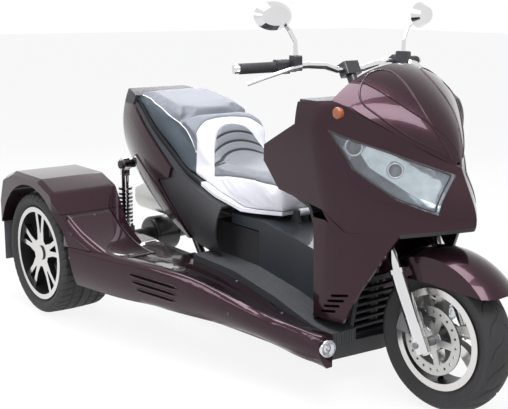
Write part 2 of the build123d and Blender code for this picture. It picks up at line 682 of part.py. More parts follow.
# Footboards: sloping black floors between the pontoons and the tunnel.
TUNNEL_HALF = 150
FLOOR_OUT = 262
FLOOR_TOP = ((610, 228), (520, 238), (330, 285), (100, 322), (-150, 330))
FLOOR_UNDER = ((-150, 300), (100, 292), (330, 255), (480, 200), (610, 180))
with BuildPart() as footboards:
    add(side_prism((*FLOOR_TOP, *FLOOR_UNDER), TUNNEL_HALF, FLOOR_OUT))
    mirror(about=Plane.XZ)
save(footboards, "footboards")

# Centre tunnel: the black hump over frame and engine, between leg shield and seat; a shell, open
# below and against the leg shield.
TUNNEL_LOW = 210
TUNNEL_TOP = ((LEG_FOOT[0] - SEAT_GAP, 428), (300, 466), (130, 490), (-60, 490))
tunnel_front = TUNNEL_TOP[0][0]
tunnel_line = ((tunnel_front, TUNNEL_LOW), *TUNNEL_TOP, (-60, 452), (105, 452), (105, TUNNEL_LOW))
tunnel_under = tuple((x, z - LINER_WALL) for x, z in TUNNEL_TOP[1:3])
TUNNEL_BACK = ((-54, 484), (-54, 440), (111, 440), (111, 150))
tunnel_inside = ((FAR, 150), (FAR, 260), (tunnel_front, 422), *tunnel_under, *TUNNEL_BACK)
with BuildPart() as centre_tunnel:
    add(side_prism(tunnel_line, -TUNNEL_HALF, TUNNEL_HALF))
    add(side_prism(tunnel_inside, LINER_WALL - TUNNEL_HALF, TUNNEL_HALF - LINER_WALL), mode=Mode.SUBTRACT)
save(centre_tunnel, "centre_tunnel")

# Pontoons: the painted side sills. Sections run from the front end back to the rear wheel arch; a
# rolled lip stands round a dished top, and three scoops are sunk in the outer side.
PONTOON_SECTIONS = (
    # x, outer y, ridge z, bottom z, depth of the dish
    (622, 322, 240, 124, 3),
    (450, 361, 252, 148, 10),
    (250, 410, 290, 170, 16),
    (0, 473, 332, 174, 26),
    (-250, 535, 336, 170, 18),
    (-400, 572, 338, 172, 2),
    (-520, 602, 338, 176, 0),
)
ARCH_R = REAR_TYRE_R + 36.5
GUARD_LOW = 335
with BuildPart() as pontoons:
    for x, outer, ridge, bottom, dish in PONTOON_SECTIONS:
        width = outer - FLOOR_OUT
        with BuildSketch(Plane(origin=(x, 0, 0), x_dir=(0, 1, 0), z_dir=(1, 0, 0))):
            with BuildLine():
                lip_in = (0.3 * width + 12 - outer, ridge - dish / 2)
                Polyline(lip_in, (0.55 * width + 12 - outer, ridge - dish), (-FLOOR_OUT, ridge - dish - 4))
                Polyline((-FLOOR_OUT, ridge - dish - 4), (-FLOOR_OUT, bottom), (36 - outer, bottom))
                ThreePointArc((36 - outer, bottom), (10 - outer, (ridge + bottom) / 2 - 22), (-outer, ridge - 26))
                ThreePointArc((-outer, ridge - 26), (7 - outer, ridge - 7), (22 - outer, ridge))
                Line((22 - outer, ridge), lip_in)
            make_face()
    loft()
    with BuildSketch(face_plane(REAR_AXLE_X, 0, REAR_TYRE_R)):
        Circle(ARCH_R)
    extrude(amount=800, mode=Mode.SUBTRACT)
    with BuildSketch(Plane.XY.offset(GUARD_LOW)):
        with Locations((-600, -450)):
            Rectangle(2 * (600 - 385), 500)
    extrude(amount=100, mode=Mode.SUBTRACT)
    mirror(about=Plane.XZ)
save(pontoons, "pontoons")

# Step lamps: round lamps on the pontoons' front ends.
STEP_LAMP_R = 27
with BuildPart() as step_lamps:
    front_end = PONTOON_SECTIONS[0]
    with BuildSketch(Plane(origin=(front_end[0], 0, 0), x_dir=(0, 1, 0), z_dir=(1, 0, 0))):
        with Locations((-(front_end[1] + FLOOR_OUT) / 2, front_end[2] - 44)):
            Circle(STEP_LAMP_R)
    extrude(amount=22)
    fillet(step_lamps.faces().sort_by(Axis.X)[-1].edges(), 8)
    mirror(about=Plane.XZ)
save(step_lamps, "step_lamps")

# Rear mudguards: a humped cover over each rear wheel, closed on the inner side, with a rounded
# outer shoulder. In front it narrows with the pontoon that it stands on.
GUARD_IN, GUARD_OUT, GUARD_INNER_WALL, GUARD_SHOULDER = 336, 622, 12, 18
GUARD_BACK, GUARD_FRONT = -1076, -388
guard_crown = REAR_TYRE_R + ARCH_R + 36.5
GUARD_FALL = ((285, 184), (195, 38), (85, 0), (-145, 0), (-255, 40), (GUARD_BACK - REAR_AXLE_X, 140))
guard_top = tuple((REAR_AXLE_X + ahead, guard_crown - fall) for ahead, fall in GUARD_FALL)
with BuildPart() as rear_mudguards:
    with BuildSketch(Plane.XZ.offset(GUARD_IN)) as guard_side:
        with BuildLine():
            under = GUARD_LOW - 3 * GUARD_SHOULDER
            FilletPolyline((GUARD_FRONT, under), (GUARD_FRONT, GUARD_LOW - 1), *guard_top, (GUARD_BACK, under), radius=38)
            Line((GUARD_BACK, under), (GUARD_FRONT, under))
        make_face()
    extrude(amount=GUARD_OUT - GUARD_IN - GUARD_SHOULDER)
    with BuildSketch(Plane.XZ.offset(GUARD_OUT - GUARD_SHOULDER)):
        add(guard_side.sketch_local)
    extrude(amount=GUARD_SHOULDER, taper=38)
    split(bisect_by=Plane.XY.offset(GUARD_LOW), keep=Keep.TOP)
    with BuildSketch(face_plane(REAR_AXLE_X, -GUARD_IN - GUARD_INNER_WALL, REAR_TYRE_R)):
        Circle(ARCH_R)
    extrude(amount=800, mode=Mode.SUBTRACT)
    with BuildSketch(Plane.XY.offset(GUARD_LOW)):
        with BuildLine():
            waist = ((GUARD_FRONT + 60, -550), (-520, 4 - 602), (-590, -GUARD_OUT - 2), (GUARD_FRONT + 60, -GUARD_OUT - 2))
            Polyline(*waist, close=True)
        make_face()
    extrude(amount=400, mode=Mode.SUBTRACT)
    mirror(about=Plane.XZ)
save(rear_mudguards, "rear_mudguards")

# Mud flaps: plain sheets on the mudguards' back faces.
FLAP_THICK, FLAP_WIDTH, FLAP_LOW, FLAP_TOP = 6, 226, 163, 420
with BuildPart() as mud_flaps:
    with BuildSketch(Plane(origin=(GUARD_BACK, 0, 0), x_dir=(0, 1, 0), z_dir=(-1, 0, 0))):
        with Locations((FLAP_WIDTH / 2 + GUARD_SHOULDER - GUARD_OUT, -(FLAP_LOW + FLAP_TOP) / 2)):
            Rectangle(FLAP_WIDTH, FLAP_TOP - FLAP_LOW)
    extrude(amount=FLAP_THICK)
    mirror(about=Plane.XZ)
save(mud_flaps, "mud_flaps")

# Tail body. Sections from the seat's front to the tail's end.
TAIL_END = -806
TAIL_SECTIONS = (
    # x, half width, bottom, top
    (-60, 232, 330, 520),
    (-300, 236, 375, 640),
    (-500, 226, 455, 760),
    (-650, 205, 530, 850),
    (TAIL_END, 166, 612, 894),
)
SEAT_LINE = ((165, 505), (0, 500), (-150, 545), (-300, 600), (-500, 715), (-650, 812), (-704, 846))
SEAT_CLEAR = 5
PAN_THICK = 14
DECK_X, DECK_Z = -704, 838


def tail_hull(inset):
    """The tail's outer form, drawn in by a wall thickness."""
    with BuildPart() as hull:
        for x, half, bottom, top in TAIL_SECTIONS:
            with BuildSketch(Plane(origin=(x, 0, 0), x_dir=(0, 1, 0), z_dir=(1, 0, 0))):
                with BuildLine():
                    wide = half - inset
                    Line((wide - 30, bottom), (30 - wide, bottom))
                    ThreePointArc((30 - wide, bottom), (-wide, (bottom + top) / 2), (30 - wide, top))
                    Line((30 - wide, top), (wide - 30, top))
                    ThreePointArc((wide - 30, top), (wide, (bottom + top) / 2), (wide - 30, bottom))
                make_face()
        loft()
    return hull.part


tail_outer = tail_hull(0)
tail_skin = tail_hull(WALL)
tail_inside = tail_hull(WALL + LINER_WALL)
under_seat = side_prism((*SEAT_LINE, (DECK_X, 200), (165, 200)), -ALL_WIDE, ALL_WIDE)
PAINT_LINE = (
    (-352, 626), (DECK_X, 846), (DECK_X, DECK_Z), (TAIL_END, DECK_Z), (TAIL_END, 612), (-760, 560), (-640, 405),
    (-430, 378), (-234, 366), (-300, 440), (-440, 566), (-354, 590),
)
UPPER_BLADE = ((-352, 626), (DECK_X, 846), (DECK_X, 790), (-560, 712), (-354, 590))
LOWER_BLADE = ((-234, 366), (-300, 440), (-440, 540), (-640, 640), (-620, 560), (-430, 440))
BLADE_PROUD = 6
with BuildPart() as tail_panels:
    add(tail_outer)
    add(tail_skin, mode=Mode.SUBTRACT)
    add(side_prism(PAINT_LINE, 90, ALL_WIDE), mode=Mode.INTERSECT)
    for blade_line in (UPPER_BLADE, LOWER_BLADE):
        with BuildPart(mode=Mode.PRIVATE) as raised:
            add(tail_hull(-BLADE_PROUD))
            add(tail_skin, mode=Mode.SUBTRACT)
            add(side_prism(blade_line, 90, ALL_WIDE), mode=Mode.INTERSECT)
        add(raised.part)
    mirror(about=Plane.XZ)
save(tail_panels, "tail_panels")

# Tail liner: the black inner skin that shows between the painted blades and ahead of them.
liner_prism = side_prism((*SEAT_LINE[1:], (DECK_X, DECK_Z), (TAIL_END + 10, DECK_Z), (TAIL_END + 10, 300), (0, 300)), 120, ALL_WIDE)
with BuildPart() as tail_liner:
    add(tail_skin)
    add(tail_inside, mode=Mode.SUBTRACT)
    add(liner_prism, mode=Mode.INTERSECT)
    mirror(about=Plane.XZ)
save(tail_liner, "tail_liner")

# Tail deck: the top cover behind the seat and the plate that closes the tail's end.
with BuildPart() as tail_deck:
    add(tail_outer)
    add(side_prism(((DECK_X, DECK_Z), (DECK_X, FAR), (TAIL_END - 10, FAR), (TAIL_END - 10, DECK_Z)), -ALL_WIDE, ALL_WIDE), mode=Mode.INTERSECT)
save(tail_deck, "tail_deck")
with BuildPart() as tail_end_plate:
    add(tail_skin)
    add(side_prism(((TAIL_END - 10, 500), (TAIL_END - 10, DECK_Z), (TAIL_END + 10, DECK_Z), (TAIL_END + 10, 500)), -ALL_WIDE, ALL_WIDE), mode=Mode.INTERSECT)
save(tail_end_plate, "tail_end_plate")

# Tail lamp and plate bracket, on the tail's end plate.
end_plane = Plane(origin=(TAIL_END, 0, 0), x_dir=(0, 1, 0), z_dir=(-1, 0, 0))
with BuildPart() as tail_lamp:
    with BuildSketch(end_plane):
        with Locations((0, -790)):
            RectangleRounded(210, 58, 20)
    extrude(amount=14)
save(tail_lamp, "tail_lamp")
PLATE_HOLE_R, PLATE_HOLE_HALF, PLATE_HOLE_Z = 3.2, 70, 590
with BuildPart() as plate_bracket:
    with BuildSketch(end_plane):
        with Locations((0, -640)):
            Rectangle(60, 180)
    extrude(amount=6)
    with BuildSketch(end_plane.offset(6)):
        with Locations((0, -PLATE_HOLE_Z)):
            RectangleRounded(2 * PLATE_HOLE_HALF + 40, 44, 8)
        with Locations((-PLATE_HOLE_HALF, -PLATE_HOLE_Z), (PLATE_HOLE_HALF, -PLATE_HOLE_Z)):
            Circle(PLATE_HOLE_R, mode=Mode.SUBTRACT)
    extrude(amount=6)
save(plate_bracket, "plate_bracket")

# Seat bucket: a flange on which the seat closes, and a storage tub below it.
TUB_HALF = 146
FLANGE_THICK = 8
flange_under = tuple((x, z - FLANGE_THICK) for x, z in reversed(SEAT_LINE[1:]))
flange_prism = side_prism((*SEAT_LINE[1:], *flange_under), -ALL_WIDE, ALL_WIDE)
TUB_LINE = ((-66, BUCKET_REST_Z), (BUCKET_REST_X - 16, BUCKET_REST_Z), (-590, 536), (-590, FAR), (-66, FAR))
TUB_INSIDE = ((-72, BUCKET_REST_Z + 6), (BUCKET_REST_X - 16, BUCKET_REST_Z + 6), (-584, 540), (-584, FAR), (-72, FAR))
tub_inside = side_prism(TUB_INSIDE, 6 - TUB_HALF, TUB_HALF - 6)
with BuildPart() as tub:
    add(side_prism(TUB_LINE, -TUB_HALF, TUB_HALF))
    add(under_seat, mode=Mode.INTERSECT)
with BuildPart() as seat_bucket:
    add(flange_prism)
    add(tail_inside, mode=Mode.INTERSECT)
    add(tub.part)
    add(tub_inside, mode=Mode.SUBTRACT)
    with BuildSketch(Plane.XY.offset(560)):
        with Locations((-610, -100), (-610, 100)):
            Circle(9)
    extrude(amount=300)
    add(side_prism(tuple((x, z + SEAT_CLEAR) for x, z in SEAT_LINE) + ((-704, FAR), (165, FAR)), -ALL_WIDE, ALL_WIDE), mode=Mode.SUBTRACT)
save(seat_bucket, "seat_bucket")

# Seat. One plan outline for every layer, and side-view lines for pan, saddle, lumbar pad and pillion pad.
SEAT_PLAN = ((186, 92), (60, 145), (-120, 186), (-320, 192), (-560, 184), (-700, 160))
LUMBAR_FRONT, PILLION_FRONT = -245, -380


def seat_layer(line, trim):
    """A seat layer from a side-view line, trimmed to the plan outline drawn in by trim."""
    with BuildPart() as layer:
        add(side_prism(line, -ALL_WIDE, ALL_WIDE))
        with BuildSketch(Plane.XY.offset(400)):
            with BuildLine():
                right = [(x, trim - half) for x, half in SEAT_PLAN]
                left = [(x, half - trim) for x, half in reversed(SEAT_PLAN)]
                Polyline(*right, *left, close=True)
            make_face()
        extrude(amount=FAR, mode=Mode.INTERSECT)
    return layer.part


pan_under = tuple((x, z + SEAT_CLEAR) for x, z in SEAT_LINE)
pan_top = tuple((x, z + SEAT_CLEAR + PAN_THICK) for x, z in SEAT_LINE)
EYE_R, EYE_HALF, BRACKET_OUT = 13, 30, 48
with BuildPart() as seat_pan:
    add(seat_layer((*pan_under, *reversed(pan_top)), 6))
    with BuildSketch(face_plane(0, EYE_HALF, 0)):
        with Locations((HINGE_X, HINGE_Z)):
            Circle(EYE_R)
        with Locations((HINGE_X - 9.5, HINGE_Z - 1)):
            Rectangle(19, PAN_THICK)
        with Locations((HINGE_X, HINGE_Z)):
            Circle(HINGE_R + RUNNING_GAP, mode=Mode.SUBTRACT)
    extrude(amount=2 * EYE_HALF)
save(seat_pan, "seat_pan")

# Cushions: saddle, ribbed lumbar pad and pillion pad, each with softened upper edges.
def seat_height(x):
    """Height of the pan's top at a station."""
    for (x_front, z_front), (x_back, z_back) in zip(pan_top, pan_top[1:]):
        if x_back <= x <= x_front:
            return z_back + (x - x_back) * (z_front - z_back) / (x_front - x_back)
    return pan_top[-1][1]


def pan_between(front, back):
    """The pan's top line from one station back to another."""
    inner = [(x, z) for x, z in pan_top if back < x < front]
    return ((front, seat_height(front)), *inner, (back, seat_height(back)))


SADDLE_TOP = ((LUMBAR_FRONT, 735), (-100, 706), (60, 703), (165, 676))
LUMBAR_TOP = ((PILLION_FRONT, 780), (-345, 812), (-300, 800), (LUMBAR_FRONT, 745))
PILLION_TOP = ((-704, 895), (-680, 908), (-600, 884), (-450, 848), (PILLION_FRONT, 836))
with BuildPart() as rider_saddle:
    add(seat_layer((*pan_between(165, LUMBAR_FRONT), *SADDLE_TOP), 0))
save(rider_saddle, "rider_saddle")
with BuildPart() as lumbar_pad:
    add(seat_layer((*pan_between(LUMBAR_FRONT, PILLION_FRONT), *LUMBAR_TOP), 0))
save(lumbar_pad, "lumbar_pad")
with BuildPart() as pillion_pad:
    add(seat_layer((*pan_between(PILLION_FRONT, -704), *PILLION_TOP), 0))
save(pillion_pad, "pillion_pad")

# Seat hinge: two cheeks on the tunnel and the pin between them; the pan's eye turns on the pin.
CHEEK_R = 11
tunnel_rear = TUNNEL_TOP[2]
tunnel_slope = (TUNNEL_TOP[1][1] - tunnel_rear[1]) / (TUNNEL_TOP[1][0] - tunnel_rear[0])
with BuildPart() as seat_hinge:
    with BuildSketch(face_plane(0, BRACKET_OUT, 0)):
        with BuildLine():
            Polyline(
                (HINGE_X - 26, tunnel_rear[1] + tunnel_slope * (HINGE_X - 26 - tunnel_rear[0])),
                (HINGE_X + 26, tunnel_rear[1] + tunnel_slope * (HINGE_X + 26 - tunnel_rear[0])),
                (HINGE_X + CHEEK_R, HINGE_Z),
                (HINGE_X - CHEEK_R, HINGE_Z),
                close=True,
            )
        make_face()
        with Locations((HINGE_X, HINGE_Z)):
            Circle(CHEEK_R)
    extrude(amount=2 * BRACKET_OUT)
    with BuildSketch(face_plane(HINGE_X, EYE_HALF + SEAT_CLEAR, HINGE_Z)):
        Rectangle(200, 200)
    extrude(amount=2 * (EYE_HALF + SEAT_CLEAR), mode=Mode.SUBTRACT)
    with BuildSketch(face_plane(HINGE_X, BRACKET_OUT, HINGE_Z)):
        Circle(HINGE_R)
    extrude(amount=2 * BRACKET_OUT)
save(seat_hinge, "seat_hinge")

# Front axle: a spindle through the hub, with collars out to the fork legs.
LEG_INNER = FORK_HALF - SLIDER_R
with BuildPart() as front_axle_shaft:
    with BuildSketch(face_plane(FRONT_AXLE_X, FORK_HALF + SLIDER_R + 4, FRONT_TYRE_R)):
        Circle(FRONT_SPINDLE_R)
    extrude(amount=2 * (FORK_HALF + SLIDER_R + 4))
    with BuildSketch(face_plane(FRONT_AXLE_X, LEG_INNER, FRONT_TYRE_R)):
        Circle(FRONT_SPINDLE_R + 5)
    extrude(amount=LEG_INNER - FRONT_HUB_LEFT - SEAT_GAP)
    with BuildSketch(face_plane(FRONT_AXLE_X, -LEG_INNER, FRONT_TYRE_R)):
        Circle(FRONT_SPINDLE_R + 5)
    extrude(amount=-(LEG_INNER - FRONT_HUB_RIGHT - SEAT_GAP))
save(front_axle_shaft, "front_axle")

# Fork: stanchions clamped in the crown, sliders over their lower ends.
STANCHION_LOW = 140
with BuildPart() as fork_tubes:
    with BuildSketch(steer.offset(STANCHION_LOW)):
        with Locations((FORK_OFFSET, -FORK_HALF)):
            Circle(STANCHION_R)
    extrude(amount=CROWN_BASE + CROWN_THICK - STANCHION_LOW)
    mirror(about=Plane.XZ)
save(fork_tubes, "fork_tubes")
FENDER_HALF = 80
with BuildPart() as fork_sliders:
    with BuildSketch(steer.offset(-SLIDER_R - 6)):
        with Locations((FORK_OFFSET, -FORK_HALF)):
            Circle(SLIDER_R)
    extrude(amount=SLIDER_TOP + SLIDER_R + 6)
    with BuildSketch(steer.offset(SLIDER_TOP - 14)):
        with Locations((FORK_OFFSET, -FORK_HALF)):
            Circle(SLIDER_R + 4)
    extrude(amount=14)
    with BuildSketch(steer.offset(SLIDER_TOP - 30)):
        with Locations((FORK_OFFSET, -(FORK_HALF + FENDER_HALF) / 2)):
            Rectangle(30, FORK_HALF - FENDER_HALF)
    extrude(amount=28)
    with BuildSketch(steer.offset(STANCHION_LOW - SEAT_GAP)):
        with Locations((FORK_OFFSET, -FORK_HALF)):
            Circle(STANCHION_R + SEAT_GAP)
    extrude(amount=200, mode=Mode.SUBTRACT)
    with BuildSketch(face_plane(FRONT_AXLE_X, 0, FRONT_TYRE_R)):
        Circle(FRONT_SPINDLE_R + SEAT_GAP)
    extrude(amount=300, mode=Mode.SUBTRACT)
    mirror(about=Plane.XZ)
save(fork_sliders, "fork_sliders")

# Steering stem: crown, stem and the bar clamp.
CLAMP_HALF, CLAMP_BLOCK = 34, 44
bar_centre = vector_sum(steer_origin, steer_up, STEM_TOP + CLAMP_BLOCK / 2)
with BuildPart() as steering_stem:
    with BuildSketch(steer.offset(CROWN_BASE)):
        with Locations((FORK_OFFSET, -FORK_HALF), (FORK_OFFSET, FORK_HALF)):
            Circle(STANCHION_R + 11)
        with Locations((FORK_OFFSET / 2, 0)):
            Rectangle(FORK_OFFSET + 2 * HEAD_TUBE_R - 24, 2 * FORK_HALF)
    extrude(amount=CROWN_THICK)
    with BuildSketch(steer.offset(CROWN_BASE)):
        with Locations((FORK_OFFSET, -FORK_HALF), (FORK_OFFSET, FORK_HALF)):
            Circle(STANCHION_R + SEAT_GAP)
    extrude(amount=CROWN_THICK, mode=Mode.SUBTRACT)
    with BuildSketch(steer.offset(CROWN_BASE)):
        Circle(STEM_R)
    extrude(amount=STEM_TOP - CROWN_BASE)
    with BuildSketch(steer.offset(STEM_TOP)):
        RectangleRounded(CLAMP_BLOCK, 2 * CLAMP_HALF, 8)
    extrude(amount=CLAMP_BLOCK)
    with BuildSketch(face_plane(bar_centre[0], CLAMP_HALF, bar_centre[2])):
        Circle(BAR_R + SEAT_GAP)
    extrude(amount=2 * CLAMP_HALF, mode=Mode.SUBTRACT)
save(steering_stem, "steering_stem")

# Handlebar: a bent tube with end weights; grips, switch boxes, reservoirs and levers ride on it.
BAR_RISE, BAR_KNEE = (10, -120, 16), (-4, -180, 20)
BAR_END = (-76, -405, 12)
bar_knee = vector_sum(bar_centre, BAR_KNEE)
bar_end = vector_sum(bar_centre, BAR_END)
hand_dir = vector_sum(bar_end, bar_knee, -1)
hand_length = sum(v * v for v in hand_dir) ** 0.5
hand_dir = tuple(v / hand_length for v in hand_dir)


def on_hand(distance):
    """Plane across the right hand grip, a distance in from the bar's end."""
    return Plane(origin=vector_sum(bar_end, hand_dir, -distance), x_dir=(0, 0, 1), z_dir=hand_dir)


with BuildPart() as handlebar:
    with BuildLine() as tube:
        FilletPolyline(
            bar_centre,
            vector_sum(bar_centre, (0, -60, 0)),
            vector_sum(bar_centre, BAR_RISE),
            bar_knee,
            bar_end,
            radius=24,
        )
    with BuildSketch(Plane(origin=bar_centre, x_dir=(1, 0, 0), z_dir=(0, -1, 0))):
        Circle(BAR_R)
    sweep(path=tube.line)
    with BuildSketch(on_hand(0)):
        Circle(BAR_R + 4)
    extrude(amount=18)
    mirror(about=Plane.XZ)
save(handlebar, "handlebar")

GRIP_LENGTH, GRIP_R = 122, 17
SWITCH_LENGTH, SWITCH_R = 44, 23
CLAMP_LENGTH = 26
with BuildPart() as grips:
    with BuildSketch(on_hand(GRIP_LENGTH)):
        Circle(GRIP_R)
        Circle(BAR_R + SEAT_GAP, mode=Mode.SUBTRACT)
    extrude(amount=GRIP_LENGTH)
    mirror(about=Plane.XZ)
save(grips, "grips")
with BuildPart() as switch_boxes:
    with BuildSketch(on_hand(GRIP_LENGTH + SWITCH_LENGTH)):
        RectangleRounded(2 * SWITCH_R, 2 * SWITCH_R - 4, 12)
        Circle(BAR_R + SEAT_GAP, mode=Mode.SUBTRACT)
    extrude(amount=SWITCH_LENGTH)
    mirror(about=Plane.XZ)
save(switch_boxes, "switch_boxes")
LEVER_PIVOT = 34  # ahead of the bar
with BuildPart() as brake_reservoirs:
    with BuildSketch(on_hand(GRIP_LENGTH + SWITCH_LENGTH + CLAMP_LENGTH)):
        Circle(BAR_R + 8)
        with Locations((12, -LEVER_PIVOT)):
            RectangleRounded(48, 46, 6)
        Circle(BAR_R + SEAT_GAP, mode=Mode.SUBTRACT)
    extrude(amount=CLAMP_LENGTH)
    mirror(about=Plane.XZ)
save(brake_reservoirs, "brake_reservoirs")
LEVER_R = 6.5
lever_at = GRIP_LENGTH + SWITCH_LENGTH + CLAMP_LENGTH / 2
lever_ahead = LEVER_PIVOT + 23 + LEVER_R
with BuildPart() as brake_levers:
    with BuildLine() as blade:
        FilletPolyline(
            on_hand(lever_at + 8).from_local_coords((2, -lever_ahead, 0)),
            on_hand(lever_at - 34).from_local_coords((-4, -lever_ahead - 4, 0)),
            on_hand(50).from_local_coords((-30, -lever_ahead + 4, 0)),
            on_hand(8).from_local_coords((-44, -lever_ahead + 12, 0)),
            radius=18,
        )
    with BuildSketch(Plane(origin=blade.line @ 0, z_dir=blade.line % 0)):
        Circle(LEVER_R)
    sweep(path=blade.line)
    mirror(about=Plane.XZ)
save(brake_levers, "brake_levers")

# Mirrors: an oval pod on a bent stem that screws into the reservoir's top.
MIRROR_AT = (392, -332, 1216)
MIRROR_TURN = 15
MIRROR_HALF_W, MIRROR_HALF_H, MIRROR_DEPTH = 65, 44, 26
STEM_ROD_R = 7
mirror_foot = on_hand(lever_at).from_local_coords((12 + 24, -LEVER_PIVOT, 0))
turn = radians(MIRROR_TURN)
with BuildPart() as mirrors:
    with BuildLine() as rod:
        FilletPolyline(
            mirror_foot,
            on_hand(lever_at).from_local_coords((12 + 24 + 42, -LEVER_PIVOT, 0)),
            Vector(*MIRROR_AT) + Vector(4, 62, -42),
            Vector(*MIRROR_AT) + Vector(8, 20, -6),
            radius=14,
        )
    with BuildSketch(Plane(origin=rod.line @ 0, z_dir=rod.line % 0)):
        Circle(STEM_ROD_R)
    sweep(path=rod.line)
    mirror_plane = Plane(origin=MIRROR_AT, x_dir=(sin(turn), cos(turn), 0), z_dir=(cos(turn), -sin(turn), 0))
    with BuildSketch(mirror_plane):
        Ellipse(MIRROR_HALF_W, MIRROR_HALF_H)
    with BuildSketch(mirror_plane.offset(MIRROR_DEPTH)):
        Ellipse(MIRROR_HALF_W - 16, MIRROR_HALF_H - 15)
    loft()
    mirror(about=Plane.XZ)
save(mirrors, "mirrors")

# Front fender: an arched U section that hugs the tyre, between the fork legs.
FENDER_CROWN_R, FENDER_SHOULDER_R, FENDER_SKIRT_R, FENDER_WALL = 292, 266, 186, 4
FENDER_BACK_ANGLE, FENDER_FRONT_ANGLE, FENDER_EDGE_Z = 126, 40, 420
back_angle = radians(FENDER_BACK_ANGLE)
fender_plane = Plane(origin=front_axle, x_dir=(0, 1, 0), z_dir=(sin(back_angle), 0, -cos(back_angle)))
with BuildPart() as front_fender:
    with BuildSketch(fender_plane):
        for wall, mode in ((0, Mode.ADD), (FENDER_WALL, Mode.SUBTRACT)):
            with BuildLine():
                out = FENDER_HALF - wall
                Polyline((-out, FENDER_SHOULDER_R), (-out, FENDER_SKIRT_R - wall), (out, FENDER_SKIRT_R - wall), (out, FENDER_SHOULDER_R))
                ThreePointArc((out, FENDER_SHOULDER_R), (0, FENDER_CROWN_R - wall), (-out, FENDER_SHOULDER_R))
            make_face(mode=mode)
    revolve(axis=front_spin, revolution_arc=FENDER_BACK_ANGLE - FENDER_FRONT_ANGLE)
    split(bisect_by=Plane.XY.offset(FENDER_EDGE_Z), keep=Keep.TOP)
save(front_fender, "front_fender")

# Brake caliper: a bridge over the disc's rear edge, bolted to the right slider.
CALIPER_IN, CALIPER_OUT, CALIPER_START, CALIPER_SWEEP = 76, 128, 134, 42
DISC_CLEAR = 5
with BuildPart() as brake_caliper:
    caliper_near = LEG_INNER - 2
    with BuildSketch(face_plane(FRONT_AXLE_X, -caliper_near, FRONT_TYRE_R)):
        with BuildLine():
            inner_arc = CenterArc((0, 0), CALIPER_IN, CALIPER_START, CALIPER_SWEEP)
            outer_arc = CenterArc((0, 0), CALIPER_OUT, CALIPER_START, CALIPER_SWEEP)
            Line(inner_arc @ 0, outer_arc @ 0)
            Line(inner_arc @ 1, outer_arc @ 1)
        make_face()
    extrude(amount=-(caliper_near - 42))
    with BuildSketch(face_plane(FRONT_AXLE_X, -FRONT_HUB_RIGHT + DISC_CLEAR, FRONT_TYRE_R)):
        Circle(DISC_R + DISC_CLEAR)
    extrude(amount=DISC_THICK + 2 * DISC_CLEAR, mode=Mode.SUBTRACT)
    with BuildSketch(face_plane(FRONT_AXLE_X, -LEG_INNER, FRONT_TYRE_R)):
        with BuildLine():
            Polyline((-16, 40), (-70, 40), (-92, 62), (-86, 88), (-34, 88), close=True)
        make_face()
    extrude(amount=-10)
save(brake_caliper, "brake_caliper")
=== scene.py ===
import math

import bmesh
import bpy
from mathutils import Matrix, Vector
from mathutils.bvhtree import BVHTree


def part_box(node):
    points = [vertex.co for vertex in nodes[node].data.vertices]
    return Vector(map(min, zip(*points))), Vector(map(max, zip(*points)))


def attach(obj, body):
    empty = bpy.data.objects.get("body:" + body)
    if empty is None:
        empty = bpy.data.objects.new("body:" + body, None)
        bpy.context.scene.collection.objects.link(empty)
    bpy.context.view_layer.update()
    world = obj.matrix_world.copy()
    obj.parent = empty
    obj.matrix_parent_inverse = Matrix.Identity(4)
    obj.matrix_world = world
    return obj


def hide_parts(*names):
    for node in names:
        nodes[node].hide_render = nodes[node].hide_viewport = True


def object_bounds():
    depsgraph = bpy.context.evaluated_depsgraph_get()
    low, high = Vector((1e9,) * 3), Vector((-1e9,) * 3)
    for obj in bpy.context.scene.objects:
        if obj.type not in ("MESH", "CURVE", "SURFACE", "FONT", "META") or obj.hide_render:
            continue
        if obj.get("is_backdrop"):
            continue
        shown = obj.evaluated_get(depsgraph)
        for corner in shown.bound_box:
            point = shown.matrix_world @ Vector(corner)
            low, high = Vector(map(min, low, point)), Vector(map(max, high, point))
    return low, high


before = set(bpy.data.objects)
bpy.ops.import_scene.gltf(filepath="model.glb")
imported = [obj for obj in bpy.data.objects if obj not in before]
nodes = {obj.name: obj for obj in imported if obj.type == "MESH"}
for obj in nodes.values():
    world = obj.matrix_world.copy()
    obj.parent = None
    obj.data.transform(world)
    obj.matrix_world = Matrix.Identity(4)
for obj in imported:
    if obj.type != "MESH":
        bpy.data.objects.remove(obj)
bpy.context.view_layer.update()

# The camera stands ahead of the trike on its right side, at chest height, where the
# photograph was taken. Its lens is written as a focal length in the picture's own pixels.
PICTURE_WIDTH = 508
PICTURE_HEIGHT = 409
FOCAL_PIXELS = 949.74
AXIS_PIXEL = (253.5, 206.0)
CAMERA_PLACE = Vector((2.697, -2.225, 1.264))
PAN = math.radians(51.684)
TILT_DOWN = math.radians(12.246)
ROLL = math.radians(0.377)
SENSOR = 36.0
camera = bpy.data.objects.new("photo_camera", bpy.data.cameras.new("photo_camera"))
camera.data.sensor_width = SENSOR
camera.data.lens = FOCAL_PIXELS * SENSOR / PICTURE_WIDTH
camera.data.shift_x = (PICTURE_WIDTH / 2 - AXIS_PIXEL[0]) / PICTURE_WIDTH
camera.data.shift_y = (AXIS_PIXEL[1] - PICTURE_HEIGHT / 2) / PICTURE_WIDTH
level_back = Vector((math.sin(PAN), -math.cos(PAN), 0.0))
look_back = level_back * math.cos(TILT_DOWN) + Vector((0.0, 0.0, math.sin(TILT_DOWN)))
level_right = Vector((math.cos(PAN), math.sin(PAN), 0.0))
level_up = look_back.cross(level_right)
turned_right = level_right * math.cos(ROLL) + level_up * math.sin(ROLL)
turned_up = level_up * math.cos(ROLL) - level_right * math.sin(ROLL)
camera_turn = Matrix((turned_right, turned_up, look_back)).transposed().to_4x4()
camera.matrix_world = Matrix.Translation(CAMERA_PLACE) @ camera_turn
bpy.context.scene.collection.objects.link(camera)
bpy.context.scene.camera = camera


